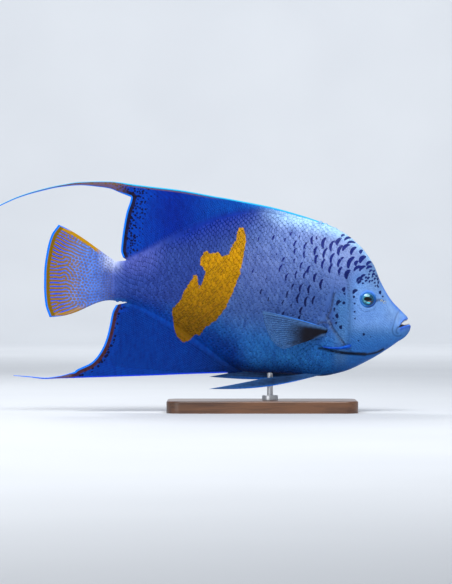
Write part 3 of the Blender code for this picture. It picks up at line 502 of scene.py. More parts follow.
def jaw_grid(upper, corner_half):
    """Half of the snout from the corner of the mouth to the lip's tip, and then the lining of the mouth."""
    lip, crest = (UPPER_LIP, UPPER_CREST) if upper else (LOWER_LIP, LOWER_CREST)
    far = UPPER_TIP_X if upper else LOWER_TIP_X
    run = np.sin(np.linspace(0, pi / 2, SNOUT_COLUMNS + 1))[1:, None]
    x = MOUTH_CORNER_X + (far - MOUTH_CORNER_X) * run
    turn = np.abs(HEAD_TURN[2 * LOWER_ROWS :] if upper else HEAD_TURN[: 2 * LOWER_ROWS + 1])[None, :]
    start, end = monotone(lip, x), monotone(crest, x)
    z = start + (end - start) * turn
    from_lip = np.abs(z - start)
    width = corner_half.max() * monotone(JAW_WIDTH_SHAPE, run)
    plain = width * (1 - turn**BULGE_POWER) ** 0.5
    opening = ease(MOUTH_CORNER_X, MOUTH_CORNER_X + 3, x)
    roll = 1 - opening * 0.5 * (1 - np.sqrt(unit(1 - (1 - from_lip / 2.0).clip(0, 1) ** 2)))
    swell = 0.95 * opening * bell(from_lip - 1.5, 1.2) * np.sqrt(unit(1 - run))
    blend = ease(0, 0.35, run)
    half = plain * roll * blend + corner_half[None, :] * (1 - blend) * (1 - 0.25 * opening) + swell
    half = half * np.where(turn > 0.999, 0, 1)
    half[-1] = 0
    ends = half[:, :1] if upper else half[:, -1:]
    across = np.linspace(0, 1, PALATE_ROWS + 1)[None, 1:]
    rise = (0.9 if upper else -0.7) * opening * np.sqrt(unit(1 - run))
    lining_half = ends * np.cos(across * pi / 2)
    lining_half[:, -1] = 0
    lining_z = start + rise * np.sin(across * pi / 2)
    lip_mask = 0.85 * bell(from_lip, 4.2) * opening
    return (x + 0 * z, z, half, lip_mask), (x + 0 * lining_z, lining_z, lining_half)


def build_side():
    """Puts the grids of one side together and returns the sheet with the grids that the scales use."""
    sheet = Sheet()
    x, z, half = body_grid(WHOLE_X, TURN)
    lengthwise = girth(z, half)
    grids = {"body": (x, z, half, {"length": lengthwise})}
    x, z, half = body_grid(FLANK_X, TURN)
    tail_root = z[0], half[0]
    body = sheet.add(x, z, half)
    sheet.weave(body[:-1])
    head_x, head_z, head_half = body_grid(HEAD_X, HEAD_TURN)
    head = np.zeros(head_x.shape, int)
    head[0, ::2] = body[-1]
    head[0, 1::2] = sheet.add(head_x[0, 1::2], head_z[0, 1::2], head_half[0, 1::2])
    head[1:] = sheet.add(head_x[1:], head_z[1:], head_half[1:])
    sheet.weave(head)
    last = body[-2]
    sheet.faces.append(np.stack([last[:-1], head[0, :-2:2], head[0, 1::2], head[0, 2::2], last[1:]], axis=-1))

    plans = (
        ("dorsal", NAPE_X, -1, BACK_LINE, BACK_EDGE, DORSAL_TIPS, DORSAL_RAYS, DORSAL_ROWS,
         DORSAL_STREAMER_ROOT, DORSAL_STREAMER, 96),
        ("anal", ANAL_FRONT_X, 0, BELLY_LINE, BELLY_EDGE, ANAL_TIPS, ANAL_RAYS, ANAL_ROWS,
         ANAL_STREAMER_ROOT, ANAL_STREAMER, 56),
    )
    for name, front_x, row, line, edge, tips, rays, rows, root, table, count in plans:
        upward = name == "dorsal"
        at = np.where((FLANK_X >= FIN_REAR_X - TINY) & (FLANK_X <= front_x + TINY))[0][::-1]
        x, z, half, fields = fin_grid(FLANK_X[at], line, edge, tips, rays, rows, root)
        fields["length"] = monotone(list(zip(WHOLE_X, lengthwise[:, row])), x) + (z - monotone(line, x))
        grids[name] = (x, z, half, fields)
        numbers = np.concatenate([body[at, row][:, None], sheet.add(x, z, half, **fields)], axis=1)
        sheet.weave(numbers[::-1] if upward else numbers)
        span = np.where((FLANK_X[at] <= root[0] + TINY) & (FLANK_X[at] >= root[1] - TINY))[0]
        first = numbers[span, -1] if upward else numbers[span, -1][::-1]
        x, z, half, fields = streamer_grid(table, len(first), count, upward)
        sheet.weave(np.concatenate([first[None, :], sheet.add(x, z, half, **fields)], axis=0))

    x, z, half, fields = tail_grid(*tail_root)
    fields["length"] = z - monotone(MIDDLE_LINE, TAIL_ROOT_X)
    grids["tail"] = (x, z, half, fields)
    sheet.weave(np.concatenate([body[0][:, None], sheet.add(x, z, half, **fields)], axis=1))

    corner = 2 * LOWER_ROWS
    for upper in (True, False):
        rows, edge = (slice(corner, None), 0) if upper else (slice(0, corner + 1), -1)
        (x, z, half, lip_mask), lining = jaw_grid(upper, head_half[-1, rows])
        grids["upper_lip" if upper else "lower_lip"] = np.stack([x[:, 0], z[:, edge], half[:, edge]], axis=1)
        outer = np.concatenate([head[-1, rows][None, :], sheet.add(x, z, half, lip=lip_mask)], axis=0)
        sheet.weave(outer)
        deep = sheet.add(*lining, mouth=1)
        if upper:
            wall_half = head_half[-1, corner] * np.cos(np.linspace(0, pi / 2, PALATE_ROWS + 1))[None, 1:]
            wall_half[0, -1] = 0
            wall = sheet.add(MOUTH_CORNER_X, head_z[-1, corner], wall_half, mouth=1)
        lip_row = outer[:, :1] if upper else outer[:, -1:]
        joined = np.concatenate([lip_row, np.concatenate([wall, deep], axis=0)], axis=1)
        sheet.weave(joined[:, ::-1] if upper else joined)
    return sheet, grids


def srgb(red, green, blue):
    """A colour given from 0 to 255, as the linear values that materials use."""
    out = []
    for value in (red, green, blue):
        share = value / 255
        out.append(share / 12.92 if share <= 0.04045 else ((share + 0.055) / 1.055) ** 2.4)
    return tuple(out)


NAPE_BLUE, SHOULDER_BLUE, FLANK_BLUE = srgb(131, 151, 205), srgb(113, 138, 202), srgb(58, 88, 152)
BELLY_BLUE, BELLY_EDGE_BLUE, REAR_BLUE = srgb(36, 106, 182), srgb(24, 90, 168), srgb(42, 66, 144)
PEDUNCLE_BLUE, PEDUNCLE_PALE, LAVENDER = srgb(44, 70, 154), srgb(77, 90, 174), srgb(93, 112, 176)
CHEEK_BLUE, CHEEK_LOW_BLUE, COVER_BLUE = srgb(106, 150, 216), srgb(46, 108, 184), srgb(70, 118, 178)
SNOUT_BLUE, FOREHEAD_BLUE, LIP_BLUE, LOWER_LIP_BLUE = (
    srgb(114, 152, 208), srgb(106, 142, 192), srgb(76, 124, 222), srgb(34, 80, 192))
DORSAL_BLUE, DORSAL_REAR_BLUE, SPINY_BLUE = srgb(0, 38, 146), srgb(0, 59, 168), srgb(12, 140, 240)
# Among these, the third is a painted shadow under the belly and the fourth is painted light along the anal
# fin's seam.
ANAL_BLUE, ANAL_FRONT_BLUE, BELLY_SHADOW, ANAL_SEAM_LIGHT = (
    srgb(0, 54, 148), srgb(0, 48, 128), srgb(2, 34, 92), srgb(8, 84, 200))
SPINY_PALE = srgb(168, 210, 255)
TAIL_PALE, TAIL_MID, TAIL_TOP = srgb(84, 106, 190), srgb(90, 136, 234), srgb(188, 198, 236)
BAR_TOP, BAR_LOW = srgb(196, 142, 0), srgb(122, 86, 0)
MARK_TOP, MARK_LOW = srgb(0, 16, 112), srgb(0, 8, 66)
RIM_AZURE, RIM_CYAN, RIM_BROWN, BAND_BROWN = (
    srgb(0, 122, 252), srgb(40, 180, 226), srgb(126, 92, 44), srgb(26, 16, 22))
# The last of these is painted shade for the lining inside the mouth.
TAIL_ORANGE, SPOT_DARK, MOUTH_SHADE = srgb(142, 104, 0), srgb(6, 8, 46), srgb(14, 8, 20)
BAND_RED, RIM_LOW = srgb(70, 34, 16), srgb(16, 60, 226)
DOT_BROWN, TAIL_SIDE, TAIL_BAND, TAIL_GAP = (
    srgb(100, 88, 84), srgb(178, 130, 0), srgb(124, 94, 2), srgb(18, 56, 212))
SNOUT_EDGE, RAY_NAVY = srgb(44, 110, 214), srgb(2, 20, 90)
BAR_GRAIN, SCALE_BROWN = srgb(150, 92, 8), srgb(92, 58, 4)
# Painted shade for the head's folds, in navy and in a rusty grey, and a pale colour for its ridges that is
# partly painted highlight.
CREASE_SHADE_NAVY, CREASE_SHADE_RUST, RIDGE_HIGHLIGHT = srgb(0, 5, 22), srgb(52, 48, 62), srgb(140, 170, 214)


def ground_colour(x, z, fin, lip, mouth):
    """The blue ground of the skin at each place, built up from named colours laid over one another."""
    height = height_share(x, z)
    colour = np.zeros(x.shape + (3,)) + FLANK_BLUE

    def lay(paint, mask):
        nonlocal colour
        mask = unit(mask)[..., None]
        colour = colour * (1 - mask) + np.array(paint) * mask

    # Paler and greyer towards the back, the shoulder and the nape, deeper blue lower down: partly the fish's
    # own countershading and partly painted light from above. The lavender patch is partly a painted sheen.
    lay(BELLY_BLUE, fall(0.1, 0.42, height))
    lay(LAVENDER, 0.85 * bump_mask(x, z, -2, 150, 48, 32))
    lay(SHOULDER_BLUE, ease(0.5, 0.9, height) * ease(-20, 40, x))
    lay(NAPE_BLUE, 1.2 * bump_mask(x, z, 84, 172, 36, 26))
    lay(REAR_BLUE, fall(-75, -30, x - 0.5 * (z - 120)))
    lay(PEDUNCLE_BLUE, fall(-120, -84, x))
    lay(PEDUNCLE_PALE, fall(-122, -88, x) * ease(0.45, 0.95, height))
    lay(BELLY_BLUE, fall(0.12, 0.3, height) * ease(-110, -70, x))
    on_head = ease(66, 78, x)
    lay(COVER_BLUE, on_head * fall(104, 128, z))
    lay(CHEEK_BLUE, ease(80, 98, x) * ease(76, 92, z) * fall(126, 150, z))
    lay(CHEEK_LOW_BLUE, ease(78, 90, x) * fall(66, 86, z))
    # Soft paler patch on the forehead, partly a painted highlight.
    lay(FOREHEAD_BLUE, bump_mask(x, z, 112, 138, 14, 18))
    lay(SNOUT_BLUE, ease(116, 130, x) * ease(86, 96, z))
    lay(SNOUT_EDGE, 0.75 * bell(monotone(BACK_LINE, x) - z, 3.5) * ease(112, 122, x) * fall(138, 144, x))
    # Darker along the lower edge of the belly and the throat, partly painted shade underneath.
    lay(BELLY_EDGE_BLUE, fall(0.0, 0.13, height) * (1 - 0.55 * ease(88, 112, x)))
    lay(BELLY_EDGE_BLUE, 0.8 * fall(38, 46, z) * (1 - on_head))
    above, below = ease(0, 9, np.where(z > 100, fin, 0)), ease(0, 9, np.where(z <= 100, fin, 0))
    lay(DORSAL_BLUE, above * fall(-10, 60, x))
    lay(SPINY_BLUE, above * ease(-88, -25, x))
    lay(SPINY_PALE, ease(0.9, 1, height) * ease(-10, 30, x) * fall(4, 10, fin) * (z > 150))
    lay(DORSAL_REAR_BLUE, above * fall(-128, -88, x))
    lay(DORSAL_BLUE, 0.8 * ease(0.8, 1, height) * fall(-30, 30, x) * ease(-112, -70, x))
    near_anal = fall(0, 0.36, height) * fall(-36, -6, x) * ease(-140, -128, x)
    lay(ANAL_BLUE, np.maximum(below, near_anal))
    lay(ANAL_FRONT_BLUE, np.maximum(below, near_anal) * ease(-90, -30, x))
    # Painted light along the anal fin's seam, lightening the body where its curve turns down and falls into
    # shade.
    seam_light = 0.3 * fall(0.02, 0.16, height) * fall(0, 5, fin)
    lay(ANAL_SEAM_LIGHT, seam_light * ease(-126, -112, x) * fall(-44, -8, x))
    # Painted shadow along the bottom of the belly.
    lay(BELLY_SHADOW, 0.85 * fall(0.0, 0.1, height) * ease(-60, -20, x) * fall(28, 60, x))
    backward = np.where(fin > 0, -99, -130 - x)
    lay(TAIL_PALE, ease(4, 30, backward + 0.35 * (z - 131)))
    lay(TAIL_TOP, ease(6, 18, backward) * fall(22, 40, backward) * ease(136, 153, z))
    lay(TAIL_MID, ease(20, 44, backward))
    lay(LIP_BLUE, lip * (z > 86.5))
    lay(LOWER_LIP_BLUE, lip * (z <= 86.5))
    # The lining of the mouth is painted near black: painted shade inside the mouth.
    lay(MOUTH_SHADE, mouth)
    return colour


def mark_field(x, z, side):
    """Depth inside the dark marks of one side, in millimetres, and below nought outside them."""
    rng = np.random.default_rng(12)
    unrest = 0.0 if side == RIGHT else 0.8
    field = np.full(x.shape, -9.0)
    for a, b, c, d, thickness in MARKS:
        top = np.array([MARK_CORNER[0] + a, MARK_CORNER[1] - b]) + unrest * rng.uniform(-1, 1, 2)
        low = np.array([MARK_CORNER[0] + c, MARK_CORNER[1] - d]) + unrest * rng.uniform(-1, 1, 2)
        middle, half = (top + low) / 2, np.linalg.norm(top - low) / 2 + 0.4
        near = np.where((np.abs(x - middle[0]) < half + 6) & (np.abs(z - middle[1]) < half + 6))[0]
        dx, dz = x[near] - middle[0], z[near] - middle[1]
        up = (top - low) / np.linalg.norm(top - low)
        along = dx * up[0] + dz * up[1]
        across = dx * up[1] - dz * up[0]
        share = unit(1 - (along / half) ** 2)
        bow = MARK_BOW * 2 * half * (share - 0.35)
        depth = 0.5 * (MARK_SWELL * thickness + MARK_LEAST) * share**0.35 - np.abs(across + bow)
        depth = depth - np.maximum(np.abs(along) - half, 0)
        field[near] = np.maximum(field[near], depth)
    return field


def bar_field(x, z):
    far = line_distance(BAR_OUTLINE, x, z, closed=True)[0]
    return np.where(inside(BAR_OUTLINE, x, z), far, -far)


# The tail's maze grows on a fan of its own: outwards from MAZE_CENTRE and around it, widest at the rim.
MAZE_CENTRE, MAZE_RIM, MAZE_STEP, MAZE_PITCH = (-50.0, 131.0), 167.0, 0.5, 3.9
MAZE_LOW_OUT, MAZE_LOW_ROUND, MAZE_SHAPE = -116.0, -84.0, (240, 336)


def tail_maze(side):
    """Grows the maze of the tail fin: a pattern that feeds on itself, stripes outside and dots inside."""
    rng = np.random.default_rng(21 if side == RIGHT else 22)
    columns, rows = MAZE_SHAPE
    u = MAZE_LOW_OUT + MAZE_STEP * np.arange(columns)[:, None] + np.zeros(MAZE_SHAPE)
    v = MAZE_LOW_ROUND + MAZE_STEP * np.arange(rows)[None, :] + np.zeros(MAZE_SHAPE)
    wave = 2 * pi / MAZE_PITCH
    bend = rng.uniform(-6, 6, 2)
    sway = 0.9 * np.sin(v / 5.5 + bend[0]) + 0.8 * np.sin(u / 3.2 + v / 7 + bend[1])
    stripes = np.cos(wave * v * (1 - 0.0054 * u) + sway)
    comb = ease(-16, -9, u)
    field = 0.6 * stripes * comb + 0.3 * rng.standard_normal(MAZE_SHAPE) * (1 - comb)
    sides = ease(26, 40, np.abs(v))
    lean = 1.1 * ease(-16 - 26 * sides, -34 - 26 * sides, u)
    k_out = 2 * pi * np.fft.fftfreq(columns, MAZE_STEP)[:, None]
    k_round = 2 * pi * np.fft.fftfreq(rows, MAZE_STEP)[None, :]
    growth = 0.35 - (1 - (k_out**2 + k_round**2) / wave**2) ** 2 * 1.3
    hold = 0.07 * comb + 0.05 * sides * ease(-46, -30, u)
    step = 0.5
    for _ in range(110):
        push = field - step * (field**3 - lean * field**2)
        field = np.real(np.fft.ifft2(np.fft.fft2(push) / (1 - step * growth)))
        field = field * (1 - hold) + hold * 0.7 * stripes
    return field


def read_maze(field, x, z):
    """Reads the maze at places on the tail."""
    back, up = MAZE_CENTRE[0] - x, z - MAZE_CENTRE[1]
    outward = MAZE_RIM * np.log(np.maximum(np.hypot(back, up), 1) / MAZE_RIM)
    around = MAZE_RIM * np.arctan2(up, back)
    columns, rows = MAZE_SHAPE
    u = np.clip((outward - MAZE_LOW_OUT) / MAZE_STEP, 0, columns - 1.001)
    v = np.clip((around - MAZE_LOW_ROUND) / MAZE_STEP, 0, rows - 1.001)
    return read_at(field, u, v)


def tail_marks(x, z, side):
    """The maze of one side, whose dots shrink towards the root of the tail."""
    rear = far_from(TAIL_TIPS, x, z, 40)
    return read_maze(MAZES[side], x, z) - 0.62 * ease(22, 68, rear) - ease(-152, -142, x)


def set_values(mesh, name, values):
    """Writes one value or one colour per vertex to the mesh."""
    values = np.asarray(values, float)
    if values.ndim == 1:
        mesh.attributes.new(name, "FLOAT", "POINT").data.foreach_set("value", values)
    else:
        rows = np.concatenate([values, np.ones((len(values), 1))], axis=1) if values.shape[1] == 3 else values
        mesh.attributes.new(name, "FLOAT_COLOR", "POINT").data.foreach_set("color", rows.ravel())


def place(name, mesh, *materials, smooth=True):
    """Puts a finished mesh into the scene with its materials."""
    made = bpy.data.objects.new(name, mesh)
    bpy.context.scene.collection.objects.link(made)
    for finish in materials:
        mesh.materials.append(finish)
    if smooth:
        mesh.shade_smooth()
    return made


def finished(name, body):
    """Turns a shape that has been worked on into a mesh."""
    mesh = bpy.data.meshes.new(name)
    body.to_mesh(mesh)
    body.free()
    return mesh


def mesh_of(name, vertices, faces):
    """A mesh from points in millimetres, with all its faces turned outwards."""
    mesh = bpy.data.meshes.new(name)
    points = (np.asarray(vertices, float) * MM).tolist()
    mesh.from_pydata(points, [], [tuple(map(int, face)) for face in faces])
    body = bmesh.new()
    body.from_mesh(mesh)
    bmesh.ops.recalc_face_normals(body, faces=body.faces)
    body.to_mesh(mesh)
    body.free()
    return mesh


# What each point of the skin knows, with the value where a grid says nothing.
SKIN_FIELDS = {"rear": 40, "front": 40, "fin": 0, "tail": 0, "ray": 0, "streamer": 0, "lip": 0, "mouth": 0}


def make_skin(sheet):
    """One closed skin over the whole fish: the sheet on the right, its mirror image on the left."""
    points = np.concatenate(sheet.points)
    x, z, half = points.T
    sway = sheet.read("sway", 0)
    on_edge = half <= 1e-9
    right = np.stack([x, -half + sway, z], axis=1)
    left = np.stack([x, half + sway, z], axis=1)[~on_edge]
    twin = np.where(on_edge, np.arange(len(x)), 0)
    twin[~on_edge] = len(x) + np.arange((~on_edge).sum())
    woven = []
    for block in sheet.faces:
        woven += block.tolist() + twin[block][:, ::-1].tolist()
    mesh = mesh_of("fish_skin", np.concatenate([right, left]), woven)

    def on_both(values):
        return np.concatenate([values, values[~on_edge]])

    both = {name: on_both(sheet.read(name, default)) for name, default in SKIN_FIELDS.items()}
    both_x, both_z = on_both(x), on_both(z)
    paint_fields(mesh, both_x, both_z, np.arange(len(both_x)) >= len(x), both)
    for name in ("rear", "front", "fin", "tail", "ray", "streamer"):
        set_values(mesh, name, both[name])
    return mesh


def paint_fields(mesh, x, z, is_left, fields):
    """Writes the ground colour and the depths inside the bar and the marks, alike for skin and scales."""
    set_values(mesh, "ground", ground_colour(x, z, fields["fin"], fields["lip"], fields["mouth"]))
    marks, maze = np.zeros(x.shape), np.full(x.shape, -1.0)
    on_tail = (x < TAIL_ROOT_X + 6) & (fields["fin"] <= 0)
    for side, chosen in ((RIGHT, ~is_left), (LEFT, is_left)):
        if chosen.any():
            marks[chosen] = mark_field(x[chosen], z[chosen], side)
        chosen = chosen & on_tail
        maze[chosen] = tail_marks(x[chosen], z[chosen], side)
    set_values(mesh, "marks", marks)
    set_values(mesh, "maze", maze)
    set_values(mesh, "bar", bar_field(x, z))
    on_head = x > 50
    # Masks for the painted shade in the head's folds, for its pale ridges, partly painted highlight, and for
    # the rusty hue of some of that shade.
    for name, lines in (("fold_shade", HEAD_CREASE_SHADES), ("ridge", HEAD_RIDGE_HIGHLIGHTS), ("rust", RUSTY_CREASES)):
        mask = np.zeros(x.shape)
        mask[on_head] = line_mask(lines, x[on_head], z[on_head])
        set_values(mesh, name, mask)


def grid_points(grid, side):
    x, z, half, fields = grid
    return np.stack([x, side * half + fields.get("sway", 0 * x), z], axis=-1)


def grid_normals(points, side):
    out = np.cross(np.gradient(points, axis=0), np.gradient(points, axis=1))
    out = out / np.maximum(np.linalg.norm(out, axis=-1, keepdims=True), 1e-9)
    return out * np.where(out[..., 1:2] * side < 0, -1, 1)


def read_at(layer, column, row):
    """Reads a grid between its points."""
    i = np.clip(column.astype(int), 0, layer.shape[0] - 2)
    j = np.clip(row.astype(int), 0, layer.shape[1] - 2)
    a, b = column - i, row - j
    if layer.ndim == 3:
        a, b = a[:, None], b[:, None]
    return (layer[i, j] * (1 - a) * (1 - b) + layer[i + 1, j] * a * (1 - b) + layer[i, j + 1] * (1 - a) * b
            + layer[i + 1, j + 1] * a * b)


SCALE_OVERLAP, SCALE_WIDTH, HEAD_SCALES_X, COLUMN_LEAN = 1.8, 1.24, 52, 0.16
UNWRAP, UNWRAP_LOW_X, UNWRAP_LOW_V, UNWRAP_START = 2.1, -0.299, -0.098, {RIGHT: 0.02, LEFT: 0.52}


def scale_pitch(x):
    """Spacing of the scales along the body and up it: small on the head and on the tail stem."""
    share = fall(58, 84, x) * (1 - 0.42 * fall(-142, -100, x))
    return 1.6 + 0.95 * share, 2.5 + 3.4 * share


def body_scales(grids, side):
    """Places of the scales on the body, in leaning columns set off by half a scale from each other."""
    rng = np.random.default_rng(31 if side == RIGHT else 32)
    grid = grids["body"]
    points = grid_points(grid, side)
    normals = grid_normals(points, side)
    lengthwise = grid[3]["length"]
    column_of = np.arange(len(WHOLE_X))
    rows = np.arange(lengthwise.shape[1])
    places = []
    start, count = TAIL_ROOT_X - 14.0, 0
    while start < 146:
        pitch_x, pitch_v = scale_pitch(np.array(start))
        v = np.arange(-84, 106, float(pitch_v)) + ((count % 2) / 2 + rng.uniform(-0.1, 0.1)) * float(pitch_v)
        x = start + COLUMN_LEAN * v + 0.5 * np.sin(v / 9 + start / 5) + rng.uniform(-0.35, 0.35, v.size)
        v = v + rng.uniform(-0.7, 0.7, v.size)
        keep = (x > TAIL_ROOT_X + 0.5) & (x < 133)
        for px, pv in zip(x[keep], v[keep]):
            column = np.interp(px, WHOLE_X, column_of)
            k = min(int(column), len(WHOLE_X) - 2)
            run = lengthwise[k] * (1 - column + k) + lengthwise[k + 1] * (column - k)
            if run[0] + 0.3 < pv < run[-1] + 0.2:
                places.append((column, np.interp(pv, run, rows), px, pv))
        start += float(pitch_x)
        count += 1
    column, row, x, v = np.array(places).T
    root = read_at(points, column, row)
    out = read_at(normals, column, row)
    z = root[:, 2]
    smooth = np.maximum(ease(84, 100, x), 0.8 * ease(66, 74, x) * fall(122, 140, z))
    keep = (z > monotone(BELLY_LINE, x) + 1.0) & (np.hypot(x - EYE_X, z - EYE_Z) > 9.6)
    keep &= (line_distance(LIP_FOLD_LINE, x, z)[0] > 1.2) & (x + 0.35 * np.abs(z - 84) < 134)
    keep &= (line_distance(GILL_SLIT_LINE, x, z)[0] > 1.3) & (line_distance(GILL_MARGIN_LINE, x, z)[0] > 0.9)
    keep &= (x > FIN_REAR_X) | (monotone(BACK_LINE, x) - z > 3.5)
    for nostril_x, nostril_z, radius in NOSTRILS:
        keep &= np.hypot(x - nostril_x, z - nostril_z) > radius + 1.2
    size = np.stack(scale_pitch(x), 1) * (1 - 0.2 * smooth)[:, None]
    flat = 1 - 0.88 * smooth
    places = root, out, body_lie(x, z), size, np.stack([x, v], 1), flat
    return [part[keep] for part in places]


def share_scales(places, front):
    """The scales of the head alone, or all the others."""
    on_head = places[0][:, 0] > HEAD_SCALES_X
    return [part[on_head if front else ~on_head] for part in places]


def body_lie(x, z):
    """The way in which scales point: tailwards, turning with the back above and with the belly below."""
    back_slope, belly_slope = (
        (monotone(line, x + 1.0) - monotone(line, x - 1.0)) / 2.0 for line in (BACK_LINE, BELLY_LINE))
    height = height_share(x, z)
    off_middle = np.abs(2 * height - 1)
    angle = np.arctan(-back_slope) * height + np.arctan(-belly_slope) * (1 - height)
    angle = angle * (0.45 + 0.55 * off_middle**3)
    angle = angle + radians(21) * (1 - off_middle**2) * ease(-135, -95, x) * fall(60, 84, x)
    return np.stack([-np.cos(angle), 0 * x, np.sin(angle)], axis=1)


def fin_scales(grid, side, seed, rows_from, reach_share, pitch, bare_rim):
    """Places of the small scales on a fin: rows across its rays, smaller and smaller outwards."""
    rng = np.random.default_rng(seed + (0 if side == RIGHT else 1))
    points = grid_points(grid, side)
    normals = grid_normals(points, side)
    x, _, _, fields = grid
    depth = fields["fin"] if "fin" in fields else fields["tail"]
    columns = np.arange(len(x), dtype=float)
    outward = np.gradient(points, axis=1)
    places, distance, count = [], rows_from, 0
    while distance < depth.max() * reach_share:
        share = distance / depth[:, -1]
        rows = np.array([np.interp(distance, depth[k], np.arange(depth.shape[1])) for k in range(len(x))])
        line = read_at(points, columns, rows)
        run = np.concatenate([[0], np.cumsum(np.linalg.norm(np.diff(line, axis=0), axis=1))])
        size = 1 - 0.45 * min(1, distance / (depth.max() * reach_share))
        at = np.arange((count % 2) * 0.5 * pitch[0] * size + 1.0, run[-1] - 1.0, pitch[0] * size)
        at = at + rng.uniform(-0.15, 0.15, at.size)
        column = np.interp(at, run, columns)
        row = np.interp(column, columns, rows)
        fits = np.interp(column, columns, share) < reach_share
        fits &= read_at(fields["rear"], column, row) > bare_rim
        fits &= read_at(fields["front"], column, row) > 3.0
        column, row = column[fits], row[fits]
        root = read_at(points, column, row)
        lie = read_at(outward, column, row)
        lie = lie / np.maximum(np.linalg.norm(lie, axis=1, keepdims=True), 1e-9)
        both_pitches = np.tile([pitch[1] * size, pitch[0] * size], (len(root), 1))
        unwrap = np.stack([root[:, 0], read_at(fields["length"], column, row)], axis=1)
        sizes = np.full(len(root), size)
        places.append((root, read_at(normals, column, row), lie, both_pitches, unwrap, sizes))
        distance += pitch[1] * size
        count += 1
    return [np.concatenate(part) for part in zip(*places)]


def bare_points(name, spots, **vectors):
    """Bare points with vectors of their own, for a tree of Geometry Nodes to set its pieces on."""
    mesh = bpy.data.meshes.new(name)
    mesh.from_pydata((spots * MM).tolist(), [], [])
    for label, values in vectors.items():
        mesh.attributes.new(label, "FLOAT_VECTOR", "POINT").data.foreach_set("vector", values.ravel())
    return place(name, mesh, smooth=False)


def grow(points, tree, name, **given):
    """Runs a tree of Geometry Nodes on the points and returns what it makes as a plain mesh."""
    modifier = points.modifiers.new(name, "NODES")
    modifier.node_group = tree
    for item in tree.interface.items_tree:
        if item.name in given:
            modifier[item.identifier] = given[item.name]
    mesh = bpy.data.meshes.new_from_object(points.evaluated_get(bpy.context.evaluated_depsgraph_get()))
    bpy.data.objects.remove(points)
    mesh.name = name
    return mesh


def read_vectors(data, label="vector"):
    values = np.zeros(len(data) * 3)
    data.foreach_get(label, values)
    return values.reshape(-1, 3)


def scale_roots(name, places, side):
    """One point for each scale, with its way out, its lie, its size and its place on the unwrap."""
    root, out, lie, pitch, unwrap, flat = places
    lie = lie - out * np.sum(lie * out, axis=1, keepdims=True)
    size = np.stack([pitch[:, 0] * SCALE_OVERLAP * MM, pitch[:, 1] * SCALE_WIDTH * MM, flat], axis=1)
    u = UNWRAP_START[side] + UNWRAP * (unwrap[:, 1] * MM - UNWRAP_LOW_V)
    v = 0.02 + UNWRAP * (unwrap[:, 0] * MM - UNWRAP_LOW_X)
    return bare_points(name, root, out=out, lie=lie, size=size, unwrap=np.stack([u, v, 0 * u], axis=1))


